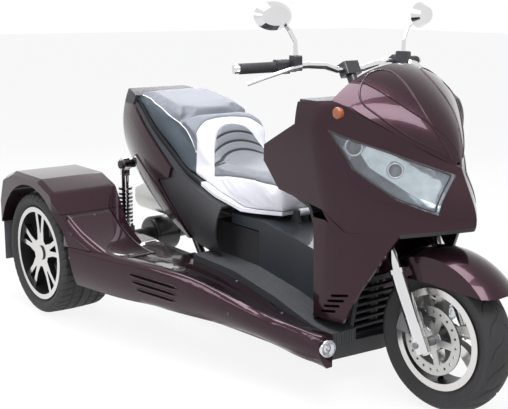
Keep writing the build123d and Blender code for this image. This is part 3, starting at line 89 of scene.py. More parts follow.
# The studio is a white sheet that runs on into a white backdrop. These two classes hold a
# finish while it is mixed: node() adds any shader node, and a Wire is one output that
# arithmetic works on.
class Wire:
    def __init__(self, finish, socket):
        self.finish = finish
        self.socket = socket

    def maths(self, operation, first, second):
        return self.finish.node("ShaderNodeMath", {"operation": operation}, {0: first, 1: second})

    def __add__(self, other):
        return self.maths("ADD", self, other)

    def __sub__(self, other):
        return self.maths("SUBTRACT", self, other)

    def __rsub__(self, other):
        return self.maths("SUBTRACT", other, self)

    def __mul__(self, other):
        return self.maths("MULTIPLY", self, other)

    def __gt__(self, other):
        return self.maths("GREATER_THAN", self, other)

    def __lt__(self, other):
        return self.maths("LESS_THAN", self, other)

    __radd__ = __add__
    __rmul__ = __mul__


class Finish:
    def __init__(self, owner, shader):
        self.owner = owner
        owner.use_nodes = True
        self.tree = owner.node_tree
        self.shader = self.tree.nodes[shader]

    def feed(self, socket, value):
        if isinstance(value, Wire):
            self.tree.links.new(value.socket, socket)
        else:
            socket.default_value = value

    def node(self, kind, settings, sockets, output=0):
        made = self.tree.nodes.new(kind)
        for name, value in settings.items():
            setattr(made, name, value)
        for name, value in sockets.items():
            self.feed(made.inputs[name], value)
        return Wire(self, made.outputs[output])

    def surface(self, sockets):
        for name, value in sockets.items():
            self.feed(self.shader.inputs[name], value)

    def over(self, factor, other):
        """Mixes another shader over the finish's own one."""
        own = Wire(self, self.shader.outputs[0])
        mixed = self.node("ShaderNodeMixShader", {}, {0: factor, 1: own, 2: other})
        for output in self.tree.nodes:
            if output.type in ("OUTPUT_MATERIAL", "OUTPUT_WORLD"):
                self.tree.links.new(mixed.socket, output.inputs["Surface"])

    def place(self):
        return self.node("ShaderNodeTexCoord", {}, {}, "Object")

    def along(self, axis):
        return self.node("ShaderNodeSeparateXYZ", {}, {0: self.place()}, axis)

    def noise(self, scale, detail=2.0):
        sockets = {"Vector": self.place(), "Scale": scale, "Detail": detail}
        return self.node("ShaderNodeTexNoise", {}, sockets)

    def blend(self, factor, first, second):
        return self.node("ShaderNodeMix", {"data_type": "RGBA"}, {0: factor, 6: first, 7: second}, 2)

    def bump(self, height, depth):
        return self.node("ShaderNodeBump", {}, {"Height": height, "Distance": depth, "Strength": 1.0})

    def seen(self):
        """One where the eye, a mirror or a lens looks at the surface, nought for soft light."""
        path = self.tree.nodes.new("ShaderNodeLightPath")
        kinds = ("Camera", "Glossy", "Transmission")
        rays = [Wire(self, path.outputs[f"Is {kind} Ray"]) for kind in kinds]
        clamped_sum = {"operation": "ADD", "use_clamp": True}
        return self.node("ShaderNodeMath", clamped_sum, {0: rays[0] + rays[1], 1: rays[2]})


def colour(red, green, blue):
    return (red, green, blue, 1.0)


def paint(name):
    return Finish(bpy.data.materials.new(name), "Principled BSDF")


def dress(finish, *names):
    for name in names:
        nodes[name].data.materials.clear()
        nodes[name].data.materials.append(finish.owner)


def piece(name, mesh, finish, body):
    """Makes a finished mesh into a piece that rides a body."""
    made = bpy.data.objects.new(name, bpy.data.meshes.new(name))
    mesh.to_mesh(made.data)
    mesh.free()
    for face in made.data.polygons:
        face.use_smooth = True
    made.data.materials.append(finish.owner)
    bpy.context.scene.collection.objects.link(made)
    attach(made, body)
    return made


FLOOR_REACH = 30.0
SHEET_GLOW = 0.88
floor_mesh = bmesh.new()
bmesh.ops.create_grid(floor_mesh, x_segments=8, y_segments=8, size=FLOOR_REACH)
floor = bpy.data.objects.new("studio_floor", bpy.data.meshes.new("studio_floor"))
floor_mesh.to_mesh(floor.data)
floor_mesh.free()
bpy.context.scene.collection.objects.link(floor)
floor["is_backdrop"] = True
sheet = paint("white_sheet")
sheet.surface({
    "Base Color": sheet.blend(sheet.noise(3.0), colour(0.86, 0.86, 0.87), colour(0.9, 0.9, 0.9)),
    "Roughness": 0.85,
    "Specular IOR Level": 0.1,
})
sheet_light = sheet.node("ShaderNodeEmission", {}, {"Color": colour(1.0, 1.0, 1.0), "Strength": 1.0})
sheet.over(sheet.seen() * SHEET_GLOW, sheet_light)
floor.data.materials.append(sheet.owner)

# The light is one broad sky with a faint lilac cast, white where it is looked at, and four
# large soft panels: over the trike, before it, beside it and low behind it.
sky = bpy.data.worlds.new("studio_sky")
bpy.context.scene.world = sky
dome = Finish(sky, "Background")
dome.surface({"Color": colour(0.50, 0.50, 0.54), "Strength": 1.0})
backdrop = dome.node("ShaderNodeBackground", {}, {"Color": colour(1.0, 1.0, 1.0), "Strength": 1.0})
dome.over(dome.seen(), backdrop)
PANEL_TINT = (0.95, 0.94, 1.0)
PANELS = (
    # name, place, aim, width, height, watts
    ("overhead", (-0.2, -0.5, 3.0), (-0.2, -0.2, 0.5), 3.4, 1.1, 105.0),
    ("front", (2.3, -1.0, 3.1), (0.5, 0.0, 0.7), 1.8, 1.1, 65.0),
    ("side", (-0.8, -3.8, 2.3), (-0.3, 0.0, 0.5), 2.6, 0.8, 45.0),
    ("behind", (-3.0, 2.4, 2.4), (-0.3, 0.0, 0.6), 2.0, 1.0, 50.0),
)
for name, place, aim, width, height, watts in PANELS:
    panel = bpy.data.lights.new("panel_" + name, "AREA")
    panel.shape = "RECTANGLE"
    panel.size = width
    panel.size_y = height
    panel.energy = watts
    panel.color = PANEL_TINT
    lamp = bpy.data.objects.new("panel_" + name, panel)
    lamp.location = place
    lamp.rotation_euler = (Vector(aim) - Vector(place)).to_track_quat("-Z", "Y").to_euler()
    bpy.context.scene.collection.objects.link(lamp)
bpy.context.scene.view_settings.view_transform = "Standard"

# Every rigid node comes as loose flat triangles. Welding them and splitting only the
# sharp edges lets the moulded curves shade smoothly.
WELD_REACH = 0.00002
SHARP_EDGE = math.radians(28.0)
for node in nodes.values():
    for face in node.data.polygons:
        face.use_smooth = True
    weld = node.modifiers.new("weld", "WELD")
    weld.merge_threshold = WELD_REACH
    split = node.modifiers.new("sharp_edges", "EDGE_SPLIT")
    split.split_angle = SHARP_EDGE


# The bodywork is moulded plastic in a dark brown maroon lacquer: a metallic base coat with
# fine flake under a clear coat that is slightly uneven, like orange peel.
def lacquer(name, seam=None):
    """The body lacquer; seam is the height of a dark joint line round the panel."""
    coat = paint(name)
    flake = coat.noise(1500.0)
    cast = coat.noise(2.5)
    deep = coat.blend(cast, colour(0.0100, 0.0038, 0.0050), colour(0.0120, 0.0048, 0.0072))
    lit = coat.blend(cast, colour(0.056, 0.0240, 0.0310), colour(0.062, 0.0300, 0.0420))
    tone = coat.blend(flake, deep, lit)
    if seam is not None:
        height, half = seam
        inside = (coat.along("Z") > height - half) * (coat.along("Z") < height + half)
        tone = coat.blend(inside, tone, colour(0.004, 0.0035, 0.0035))
    coat.surface({
        "Base Color": tone,
        "Metallic": 0.8,
        "Roughness": 0.20 + 0.12 * flake,
        "Specular IOR Level": 0.0,
        "Coat Weight": 1.0,
        "Coat IOR": 1.3,
        "Coat Roughness": 0.02,
        "Normal": coat.bump(coat.noise(40.0), 0.0004),
    })
    return coat


maroon = lacquer("maroon_lacquer")
dress(
    maroon, "nose_fairing", "screen_panel", "shield_panels", "front_fender", "pontoons", "tail_panels",
    "lower_leg_shield",
)
GUARD_SEAM = (0.4535, 0.0016)
dress(lacquer("mudguard_lacquer", GUARD_SEAM), "rear_mudguards")

# The black trim is moulded plastic with a fine grain in the tool. The tunnel and the floors
# are the same plastic, glossier, with a cold blue cast.
trim = paint("black_moulding")
grain = trim.noise(900.0)
trim.surface({
    "Base Color": trim.blend(trim.noise(9.0), colour(0.010, 0.0105, 0.012), colour(0.022, 0.023, 0.026)),
    "Roughness": 0.42 + 0.14 * grain,
    "Normal": trim.bump(grain, 0.0004),
})
dress(
    trim, "belly_pan", "tail_liner", "tail_deck", "tail_end_plate", "seat_bucket", "chin_panel",
    "inner_leg_shield", "dash", "radiator_grille", "switch_boxes", "brake_reservoirs", "plate_bracket",
    "instruments",
)
hump = paint("blue_black_moulding")
hump_grain = hump.noise(1200.0)
hump.surface({
    "Base Color": hump.blend(hump.noise(5.0), colour(0.013, 0.017, 0.021), colour(0.026, 0.032, 0.038)),
    "Roughness": 0.24 + 0.1 * hump_grain,
    "Coat Weight": 0.25,
    "Normal": hump.bump(hump_grain, 0.0003),
})
dress(hump, "centre_tunnel")

# The floors carry ribbed rubber mats, laid in loose: straight ribs run along the trike and
# hold the rider's shoes.
RIB_PITCH = 0.011
mat = paint("ribbed_floor_mat")
ribs = mat.node("ShaderNodeMath", {"operation": "PINGPONG"}, {0: mat.along("Y"), 1: RIB_PITCH / 2})
mat.surface({
    "Base Color": mat.blend(mat.noise(22.0), colour(0.012, 0.014, 0.016), colour(0.030, 0.034, 0.038)),
    "Roughness": 0.46 + 0.2 * mat.noise(70.0),
    "Normal": mat.bump(ribs, 0.6),
})
dress(mat, "footboards")

# The frame, the arms, the hinge, the stem and the axle are welded steel tube and plate in
# satin black paint.
steel = paint("satin_black_steel")
steel.surface({
    "Base Color": steel.blend(steel.noise(30.0), colour(0.012, 0.012, 0.013), colour(0.022, 0.022, 0.024)),
    "Roughness": 0.34 + 0.1 * steel.noise(120.0),
    "Coat Weight": 0.3,
})
dress(steel, "main_frame", "swing_arms", "seat_hinge", "steering_stem", "rear_axle")

# The brake caliper, the hubs and the front axle's ends are bare cast aluminium. The engine is
# cast too, and coloured near black: painted shade where it shows through the gap behind the tunnel.
casting = paint("cast_aluminium")
sand = casting.noise(380.0)
casting.surface({
    "Base Color": casting.blend(casting.noise(14.0), colour(0.20, 0.20, 0.205), colour(0.32, 0.32, 0.33)),
    "Metallic": 0.9,
    "Roughness": 0.44 + 0.12 * sand,
    "Normal": casting.bump(sand, 0.0005),
})
dress(casting, "brake_caliper", "rear_hub_left", "rear_hub_right", "front_axle")
# Near-black casting colour: painted shade for the gap between the tail liner and the tunnel.
engine_shade_casting = paint("engine_casting_painted_shade")
rough_cast = engine_shade_casting.noise(420.0)
engine_shade_casting.surface({
    "Base Color": engine_shade_casting.blend(
        engine_shade_casting.noise(16.0), colour(0.010, 0.0105, 0.012), colour(0.024, 0.025, 0.028)
    ),
    "Roughness": 0.5 + 0.15 * rough_cast,
    "Normal": engine_shade_casting.bump(rough_cast, 0.0006),
})
dress(engine_shade_casting, "engine_block")

# The bright parts are chromed steel. The brake disc and the muffler are ground, not chromed,
# with fine lines left by the wheel.
chrome = paint("chrome")
chrome.surface({
    "Base Color": chrome.blend(chrome.noise(8.0), colour(0.66, 0.66, 0.67), colour(0.80, 0.80, 0.81)),
    "Metallic": 1.0,
    "Roughness": 0.05 + 0.06 * chrome.noise(26.0),
})
dress(chrome, "fork_tubes", "fork_sliders", "handlebar", "brake_levers", "mirrors", "rear_shocks")
ground = paint("ground_steel")
lines = ground.noise(260.0)
ground.surface({
    "Base Color": ground.blend(lines, colour(0.46, 0.46, 0.45), colour(0.62, 0.62, 0.60)),
    "Metallic": 1.0,
    "Roughness": 0.26 + 0.12 * lines,
    "Normal": ground.bump(lines, 0.0002),
})
dress(ground, "front_brake_disc", "muffler")

# The rims are cast alloy wheels, painted black and then machined bright on the faces that
# look outwards.
rim = paint("machined_and_black_rim")
facing = rim.node("ShaderNodeTexCoord", {}, {}, "Normal")
across = rim.node("ShaderNodeSeparateXYZ", {}, {0: facing}, "Y")
machined = rim.node("ShaderNodeMath", {"operation": "ABSOLUTE"}, {0: across}) > 0.9
rim.surface({
    "Base Color": rim.blend(machined, colour(0.012, 0.012, 0.013), colour(0.70, 0.69, 0.67)),
    "Metallic": machined,
    "Roughness": 0.32 - 0.14 * machined + 0.05 * rim.noise(60.0),
})
dress(rim, "front_rim", "rear_rim_left", "rear_rim_right")

# The grips are black rubber with a fine knurl, pushed on the bar. The mud flaps are rubber
# sheet, greyer with dust, hung from the mudguards.
rubber = paint("grip_rubber")
knurl = rubber.node("ShaderNodeTexVoronoi", {}, {"Vector": rubber.place(), "Scale": 260.0})
rubber.surface({
    "Base Color": rubber.blend(
        rubber.noise(18.0), colour(0.008, 0.008, 0.0085), colour(0.016, 0.016, 0.017)
    ),
    "Roughness": 0.55 + 0.2 * rubber.noise(40.0),
    "Normal": rubber.bump(knurl, 0.0012),
})
dress(rubber, "grips")
flap = paint("dusty_flap_rubber")
dust = flap.noise(14.0, 6.0)
flap.surface({
    "Base Color": flap.blend(dust, colour(0.045, 0.045, 0.048), colour(0.12, 0.12, 0.125)),
    "Roughness": 0.7 + 0.15 * dust,
    "Normal": flap.bump(flap.noise(300.0), 0.0004),
})
dress(flap, "mud_flaps")

# The lamp covers are clear polycarbonate over the headlamps and the step lamps, and dyed
# acrylic, amber and red, on the indicators and the tail lamp.
clear = paint("clear_polycarbonate")
clear.surface({"Base Color": colour(0.9, 0.92, 0.94), "Roughness": 0.03, "Specular IOR Level": 0.6})
gloss = clear.node("ShaderNodeFresnel", {}, {"IOR": 1.45})
through = clear.node("ShaderNodeBsdfTransparent", {}, {"Color": colour(0.93, 0.96, 0.97)})
clear.over(0.94 - 0.9 * gloss, through)
dress(clear, "headlamp_lenses", "step_lamps")
amber = paint("amber_lens")
amber.surface({
    "Base Color": amber.blend(amber.noise(60.0), colour(0.17, 0.032, 0.005), colour(0.34, 0.085, 0.010)),
    "Roughness": 0.12,
    "Coat Weight": 1.0,
})
dress(amber, "front_indicators")
red = paint("red_lens")
red.surface({
    "Base Color": red.blend(red.noise(60.0), colour(0.35, 0.01, 0.012), colour(0.5, 0.02, 0.02)),
    "Roughness": 0.12,
    "Coat Weight": 1.0,
})
dress(red, "tail_lamp")

# The seat is one sewn vinyl cover over foam: a slate pillion with paler top, a white band
# round a ribbed grey lumbar roll, and a low grey saddle over a white skirt. It is blown up
# by the cloth solver on the seat pan, and its seams are sunk afterwards.
SEAT_NODES = ("rider_saddle", "lumbar_pad", "pillion_pad")
FOAM_VOXEL = 0.0065
FOAM_LAP = 0.004
FOAM_IN = 0.009
FOAM_RELAX = 12
RESTING_DOWN = -0.4
SWELL_PRESSURE = 4.0
SWELL_FRAMES = 20
SWELL_CAP = 0.013
COVER_RELAX = 2
PAN_LINE = (
    (-0.704, 0.865), (-0.65, 0.831), (-0.5, 0.734), (-0.3, 0.619), (-0.15, 0.564), (0.0, 0.519),
    (0.165, 0.524),
)
SOLID_TOP = (
    (-0.704, 0.895), (-0.68, 0.908), (-0.6, 0.884), (-0.45, 0.848), (-0.38, 0.836), (-0.345, 0.812),
    (-0.3, 0.8), (-0.245, 0.741), (-0.1, 0.706), (0.06, 0.703), (0.165, 0.676),
)
COVER_TOP = (
    (-0.704, 0.876), (-0.675, 0.888), (-0.6, 0.880), (-0.45, 0.850), (-0.38, 0.832), (-0.34, 0.816),
    (-0.3, 0.797), (-0.262, 0.765), (-0.235, 0.718), (-0.205, 0.675), (-0.165, 0.655), (-0.1, 0.648),
    (0.06, 0.645), (0.165, 0.625),
)
COVER_WAIST = ((-0.7, 1.0), (-0.28, 1.0), (-0.17, 0.87), (-0.05, 0.90), (0.07, 1.0), (0.2, 1.0))
PIPING_LINE = (
    (-0.672, 0.878), (-0.59, 0.868), (-0.5, 0.841), (-0.395, 0.8), (-0.322, 0.773), (-0.284, 0.731),
    (-0.268, 0.69),
)
# where each seam of the white band is at the side, how far it bows back, over what half width
BAND_BACK = (-0.252, 0.055, 0.19)
BAND_FRONT = (-0.165, 0.105, 0.155)
SKIRT_LINE = ((-0.25, 0.60), (-0.16, 0.612), (-0.09, 0.622), (0.05, 0.628), (0.165, 0.61))
RIB_HEIGHTS = (0.762, 0.728, 0.696)
RIB_SAG = 0.05
RIB_SPAN = 0.15
RIB_REACH = 0.14
RIB_FACING = 0.25
RIB_LINE = 0.004
RIB_CLEAR = 0.025
SEAM_HALF = 0.0035
SEAM_DEPTH = 0.0045


def read_line(line, at):
    """The height of a line of points at a station."""
    for (first, low), (second, high) in zip(line, line[1:]):
        if at <= second:
            return low + (high - low) * max(at - first, 0.0) / (second - first)
    return line[-1][1]


def band_edge(band, y):
    """Where a seam of the white band runs at a distance from the middle."""
    at_side, bow, half = band
    return at_side - bow * (1.0 - min(abs(y) / half, 1.0) ** 2)


def gather(part, into):
    """Adds a finished part to a mesh and lets the part go."""
    shape = bpy.data.meshes.new("gathered")
    part.to_mesh(shape)
    part.free()
    into.from_mesh(shape)
    bpy.data.meshes.remove(shape)


def relax(mesh, turns):
    """Smooths a mesh a number of times."""
    for turn in range(turns):
        bmesh.ops.smooth_vert(
            mesh, verts=mesh.verts[:], factor=0.5, use_axis_x=True, use_axis_y=True, use_axis_z=True
        )


foam = bmesh.new()
for name in SEAT_NODES:
    block = bmesh.new()
    block.from_mesh(nodes[name].data)
    bmesh.ops.remove_doubles(block, verts=block.verts[:], dist=0.0001)
    low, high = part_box(name)
    middle = (Vector(low) + Vector(high)) / 2
    size = Vector(high) - Vector(low)
    stretch = Vector((1.0 + 2 * FOAM_LAP / size.x, 1.0 - 2 * FOAM_IN / size.y, 1.0))
    bmesh.ops.scale(block, vec=stretch, space=Matrix.Translation(-middle), verts=block.verts[:])
    gather(block, foam)
seat = bpy.data.objects.new("seat_cover", bpy.data.meshes.new("seat_cover"))
foam.to_mesh(seat.data)
foam.free()
bpy.context.scene.collection.objects.link(seat)
remesh = seat.modifiers.new("foam_remesh", "REMESH")
remesh.mode = "VOXEL"
remesh.voxel_size = FOAM_VOXEL
cut_foam = bpy.data.meshes.new_from_object(seat.evaluated_get(bpy.context.evaluated_depsgraph_get()))
seat.modifiers.clear()
foam = bmesh.new()
foam.from_mesh(cut_foam)
bpy.data.meshes.remove(cut_foam)
for point in foam.verts:
    under = read_line(PAN_LINE, point.co.x)
    full = read_line(SOLID_TOP, point.co.x) - under
    point.co.z = under + (point.co.z - under) * (read_line(COVER_TOP, point.co.x) - under) / full
    point.co.y *= read_line(COVER_WAIST, point.co.x)
relax(foam, FOAM_RELAX)
foam.normal_update()
foam.to_mesh(seat.data)
resting = [point.index for point in foam.verts if point.normal.z < RESTING_DOWN]
start = [point.co.copy() for point in foam.verts]
foam.free()
held = seat.vertex_groups.new(name="held_on_pan")
held.add(resting, 1.0, "REPLACE")
blown = seat.modifiers.new("blown_cover", "CLOTH")
blown.settings.vertex_group_mass = held.name
blown.settings.use_pressure = True
blown.settings.uniform_pressure_force = SWELL_PRESSURE
blown.settings.effector_weights.gravity = 0.0
blown.collision_settings.use_collision = False
for step in range(1, SWELL_FRAMES + 1):
    bpy.context.scene.frame_set(step)
swollen = seat.evaluated_get(bpy.context.evaluated_depsgraph_get()).data
moved = [point.co.copy() for point in swollen.vertices]
seat.modifiers.clear()
seat.vertex_groups.clear()
bpy.context.scene.frame_set(1)
for point, before, after in zip(seat.data.vertices, start, moved):
    shift = after - before
    point.co = before + shift * min(1.0, SWELL_CAP / max(shift.length, 1e-6))
cover = bmesh.new()
cover.from_mesh(seat.data)
relax(cover, COVER_RELAX)
bmesh.ops.subdivide_edges(cover, edges=cover.edges[:], cuts=1, use_grid_fill=True)
relax(cover, 1)
cover.normal_update()
piping_gap = cover.verts.layers.float.new("above_piping")
back_gap = cover.verts.layers.float.new("ahead_of_back_seam")
front_gap = cover.verts.layers.float.new("ahead_of_front_seam")
skirt_gap = cover.verts.layers.float.new("above_skirt_seam")
rib_gap = cover.verts.layers.float.new("off_rib")
for point in cover.verts:
    place = point.co
    point[piping_gap] = place.z - read_line(PIPING_LINE, place.x)
    point[back_gap] = place.x - band_edge(BAND_BACK, place.y)
    point[front_gap] = place.x - band_edge(BAND_FRONT, place.y)
    point[skirt_gap] = place.z - read_line(SKIRT_LINE, place.x)
    sag = RIB_SAG * (place.y / RIB_SPAN) ** 2
    point[rib_gap] = min(abs(place.z + sag - height) for height in RIB_HEIGHTS)
sunk = []
for point in cover.verts:
    seams = [point[back_gap]]
    if point[skirt_gap] > 0.0:
        seams.append(point[front_gap])
    if point[front_gap] > 0.0:
        seams.append(point[skirt_gap])
        if point.normal.x > RIB_FACING and abs(point.co.y) < RIB_REACH:
            seams.append(point[rib_gap])
    nearest = min(abs(gap) for gap in seams)
    sunk.append(SEAM_DEPTH * math.exp(-((nearest / SEAM_HALF) ** 2)))
for point, depth in zip(cover.verts, sunk):
    point.co -= point.normal * depth
cover.to_mesh(seat.data)
cover_tree = BVHTree.FromBMesh(cover)
cover.free()
for face in seat.data.polygons:
    face.use_smooth = True
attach(seat, "seat")
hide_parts(*SEAT_NODES)

vinyl = paint("seat_vinyl")
hide = vinyl.node("ShaderNodeTexVoronoi", {}, {"Vector": vinyl.place(), "Scale": 520.0})
cloud = vinyl.noise(7.0)


def seam_side(name):
    return vinyl.node("ShaderNodeAttribute", {"attribute_name": name}, {}, "Fac")


slate = vinyl.blend(cloud, colour(0.040, 0.056, 0.070), colour(0.055, 0.075, 0.092))
pillion_top = vinyl.blend(cloud, colour(0.135, 0.150, 0.168), colour(0.175, 0.190, 0.210))
saddle_grey = vinyl.blend(cloud, colour(0.165, 0.178, 0.190), colour(0.205, 0.217, 0.230))
white = vinyl.blend(cloud, colour(0.66, 0.67, 0.69), colour(0.74, 0.75, 0.76))
# The lumbar roll's rib grooves are coloured near black: painted shade in the creases.
painted_rib_groove_shade = colour(0.018, 0.02, 0.023)
pillion = vinyl.blend(seam_side("above_piping") > 0.0, slate, pillion_top)
rib_shade = (seam_side("off_rib") < RIB_LINE) * (seam_side("above_skirt_seam") > RIB_CLEAR)
roll = vinyl.blend(rib_shade, saddle_grey, painted_rib_groove_shade)
saddle = vinyl.blend(seam_side("above_skirt_seam") > 0.0, white, roll)
ahead = vinyl.blend(seam_side("ahead_of_front_seam") > 0.0, white, saddle)
vinyl.surface({
    "Base Color": vinyl.blend(seam_side("ahead_of_back_seam") > 0.0, pillion, ahead),
    "Roughness": 0.40 + 0.16 * vinyl.noise(60.0),
    "Normal": vinyl.bump(hide, 0.0008),
})
seat.data.materials.append(vinyl.owner)

# White piping is sewn into the pillion's top seam: down each side from the back, and across
# the back between them.
PIPING_R = 0.0022
PIPING_STEPS = 26
PIPING_SIDE = 0.4
BACK_HALF = 0.13
BACK_STEPS = 12
BACK_OUTSIDE = -0.8
runs = []
for hand in (-1.0, 1.0):
    run = []
    for step in range(PIPING_STEPS + 1):
        x = PIPING_LINE[-1][0] + (PIPING_LINE[0][0] - PIPING_LINE[-1][0]) * step / PIPING_STEPS
        outside = Vector((x, hand * PIPING_SIDE, read_line(PIPING_LINE, x)))
        hit = cover_tree.ray_cast(outside, Vector((0.0, -hand, 0.0)))
        if hit[0] is not None:
            run.append(hit[0])
    runs.append(run)
across_back = []
for step in range(1, BACK_STEPS):
    y = -BACK_HALF + 2.0 * BACK_HALF * step / BACK_STEPS
    outside = Vector((BACK_OUTSIDE, y, PIPING_LINE[0][1]))
    hit = cover_tree.ray_cast(outside, Vector((1.0, 0.0, 0.0)))
    if hit[0] is not None:
        across_back.append(hit[0])


def bead(path, radius, closed, into):
    """Adds a round bead along a smooth line through points to a mesh."""
    line = bpy.data.curves.new("bead_line", "CURVE")
    line.dimensions = "3D"
    line.bevel_depth = radius
    line.bevel_resolution = 2
    spline = line.splines.new("NURBS")
    spline.points.add(len(path) - 1)
    for point, place in zip(spline.points, path):
        point.co = (*place, 1.0)
    spline.order_u = 3
    spline.use_endpoint_u = not closed
    spline.use_cyclic_u = closed
    shape = bpy.data.objects.new("bead_line", line)
    into.from_mesh(shape.to_mesh())
    bpy.data.objects.remove(shape)


piping_mesh = bmesh.new()
bead(runs[0] + across_back + runs[1][::-1], PIPING_R, False, piping_mesh)
welt = paint("white_piping")
welt.surface({
    "Base Color": welt.blend(welt.noise(90.0), colour(0.70, 0.71, 0.72), colour(0.82, 0.83, 0.84)),
    "Roughness": 0.36 + 0.1 * welt.noise(200.0),
})
piece("pillion_piping", piping_mesh, welt, "seat")

# The pan under the cover is moulded black plastic, hinged at its front, with the white skirt
# wrapped over its front half.
PAN_WRAP = -0.21
pan = paint("seat_pan_edge")
wrapped = pan.along("X") > PAN_WRAP
pan.surface({
    "Base Color": pan.blend(wrapped, colour(0.014, 0.014, 0.016), colour(0.74, 0.75, 0.77)),
    "Roughness": 0.45 + 0.1 * pan.noise(300.0),
})
dress(pan, "seat_pan")

# The tyres are spun from their section with the tread sunk in afterwards: swept waves on
# the front one, straight channels and shoulder slots on the wide rear ones.
TREAD_EDGE = math.radians(50.0)
tyre_rubber = paint("tyre_rubber")
scuff = tyre_rubber.noise(24.0, 5.0)
tyre_rubber.surface({
    "Base Color": tyre_rubber.blend(scuff, colour(0.011, 0.011, 0.0115), colour(0.030, 0.030, 0.030)),
    "Roughness": 0.58 + 0.22 * scuff,
    "Normal": tyre_rubber.bump(tyre_rubber.noise(600.0), 0.0003),
})


def arc(first, middle, last, steps):
    """Points on the circle through three points of a tyre section, without the last one."""
    (ax, ay), (bx, by), (cx, cy) = first, middle, last
    twice = 2.0 * (ax * (by - cy) + bx * (cy - ay) + cx * (ay - by))
    a2, b2, c2 = ax * ax + ay * ay, bx * bx + by * by, cx * cx + cy * cy
    centre_x = (a2 * (by - cy) + b2 * (cy - ay) + c2 * (ay - by)) / twice
    centre_y = (a2 * (cx - bx) + b2 * (ax - cx) + c2 * (bx - ax)) / twice
    radius = math.hypot(ax - centre_x, ay - centre_y)
    begin = math.atan2(ay - centre_y, ax - centre_x)
    sweep = math.atan2(cy - centre_y, cx - centre_x) - begin
    return [
        (centre_x + radius * math.cos(begin + sweep * step / steps),
         centre_y + radius * math.sin(begin + sweep * step / steps))
        for step in range(steps)
    ]


def groove(distance, half_width):
    """How deep a tread groove is at a distance from its middle, from nought to one."""
    return min(max((half_width - abs(distance)) / (0.45 * half_width), 0.0), 1.0)


def spun_tyre(name, node, body, section, turns, tread):
    """Spins a half section into a tyre, sinks its tread and puts it in the CAD tyre's place."""
    low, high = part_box(node)
    centre = (Vector(low) + Vector(high)) / 2
    mesh = bmesh.new()
    outline = section + [(-y, r) for y, r in reversed(section) if y > 0.0001]
    ring = [mesh.verts.new((centre.x, centre.y + y, centre.z + r)) for y, r in outline]
    edges = [mesh.edges.new(pair) for pair in zip(ring, ring[1:] + ring[:1])]
    bmesh.ops.spin(
        mesh, geom=ring + edges, cent=centre, axis=(0.0, 1.0, 0.0), dvec=(0.0, 0.0, 0.0),
        angle=2.0 * math.pi, steps=turns, use_merge=True,
    )
    bmesh.ops.remove_doubles(mesh, verts=mesh.verts[:], dist=0.00001)
    bmesh.ops.recalc_face_normals(mesh, faces=mesh.faces[:])
    for point in mesh.verts:
        reach = point.co - centre
        radius = math.hypot(reach.x, reach.z)
        depth = tread(reach.y, radius, math.atan2(reach.x, reach.z))
        point.co.x -= reach.x / radius * depth
        point.co.z -= reach.z / radius * depth
    made = piece(name, mesh, tyre_rubber, body)
    edge = made.modifiers.new("tread_edges", "EDGE_SPLIT")
    edge.split_angle = TREAD_EDGE
    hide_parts(node)


FRONT_HALF, FRONT_R, FRONT_BEAD, FRONT_FOOT = 0.060, 0.2365, 0.1503, 0.0397
front_section = [(0.0, FRONT_R)]
front_section += arc((0.0, FRONT_R), (0.0295, 0.2307), (0.055, 0.215), 26)[1:]
front_section += arc((0.055, 0.215), (FRONT_HALF, 0.206), (0.055, 0.196), 6)
front_section += [(0.055, 0.196), (0.0478, 0.183), (FRONT_FOOT, 0.169), (FRONT_FOOT, FRONT_BEAD)]
FRONT_SHOULDER, FRONT_TREAD_R = 0.055, 0.212
FRONT_TURNS = 420
WAVES = 20
WAVE_HALF, WAVE_DEPTH, WAVE_LEAN = 0.0042, 0.0042, 0.42
WAVE_START, WAVE_END = 0.06, 0.97


def front_tread(y, radius, angle):
    out = abs(y) / FRONT_SHOULDER
    if radius < FRONT_TREAD_R or out > WAVE_END or out < WAVE_START:
        return 0.0
    step = 2.0 * math.pi / WAVES
    shift = 0.5 * step if y > 0 else 0.0
    middle = WAVE_LEAN * out ** 1.6 + 0.05 * math.sin(6.0 * out) + shift
    off = (angle - middle + step / 2) % step - step / 2
    fade = min((out - WAVE_START) / 0.12, (WAVE_END - out) / 0.1, 1.0)
    return WAVE_DEPTH * fade * groove(off * radius, WAVE_HALF)


spun_tyre("front_tyre_treaded", "front_tyre", "front_wheel", front_section, FRONT_TURNS, front_tread)

REAR_HALF, REAR_R, REAR_BEAD, REAR_FOOT = 0.1175, 0.2485, 0.1763, 0.0967
rear_section = [(0.0, REAR_R)]
rear_section += arc((0.0, REAR_R), (0.048, 0.24778), (0.0955, 0.2455), 38)[1:]
rear_section += arc((0.0955, 0.2455), (0.1085, 0.240), (0.1135, 0.232), 8)
rear_section += arc((0.1135, 0.232), (REAR_HALF, 0.217), (0.1105, 0.205), 6)
rear_section += [(0.1105, 0.205), (REAR_FOOT, 0.194), (REAR_FOOT, REAR_BEAD)]
CHANNELS = (-0.062, -0.021, 0.021, 0.062)
CHANNEL_HALF, CHANNEL_DEPTH = 0.0058, 0.006
REAR_TREAD_R, REAR_TURNS = 0.226, 360
SIPES, SIPE_HALF, SIPE_DEPTH, SIPE_LEAN = 44, 0.0042, 0.0045, 1.6
SHOULDER_FROM, BLOCK_FROM, BLOCK_TO = 0.068, 0.026, 0.057


def rear_tread(y, radius, angle):
    if radius < REAR_TREAD_R:
        return 0.0
    depth = max(CHANNEL_DEPTH * groove(y - channel, CHANNEL_HALF) for channel in CHANNELS)
    step = 2.0 * math.pi / SIPES
    shift = 0.5 * step if y > 0 else 0.0
    off = (angle - SIPE_LEAN * abs(y) - shift + step / 2) % step - step / 2
    if abs(y) > SHOULDER_FROM:
        depth = max(depth, SIPE_DEPTH * groove(off * radius, SIPE_HALF))
    elif BLOCK_FROM < abs(y) < BLOCK_TO:
        depth = max(depth, 0.7 * SIPE_DEPTH * groove(off * radius, 0.6 * SIPE_HALF))
    return depth


for side in ("left", "right"):
    spun_tyre(
        f"rear_tyre_treaded_{side}", f"rear_tyre_{side}", f"rear_wheel_{side}", rear_section, REAR_TURNS,
        rear_tread,
    )


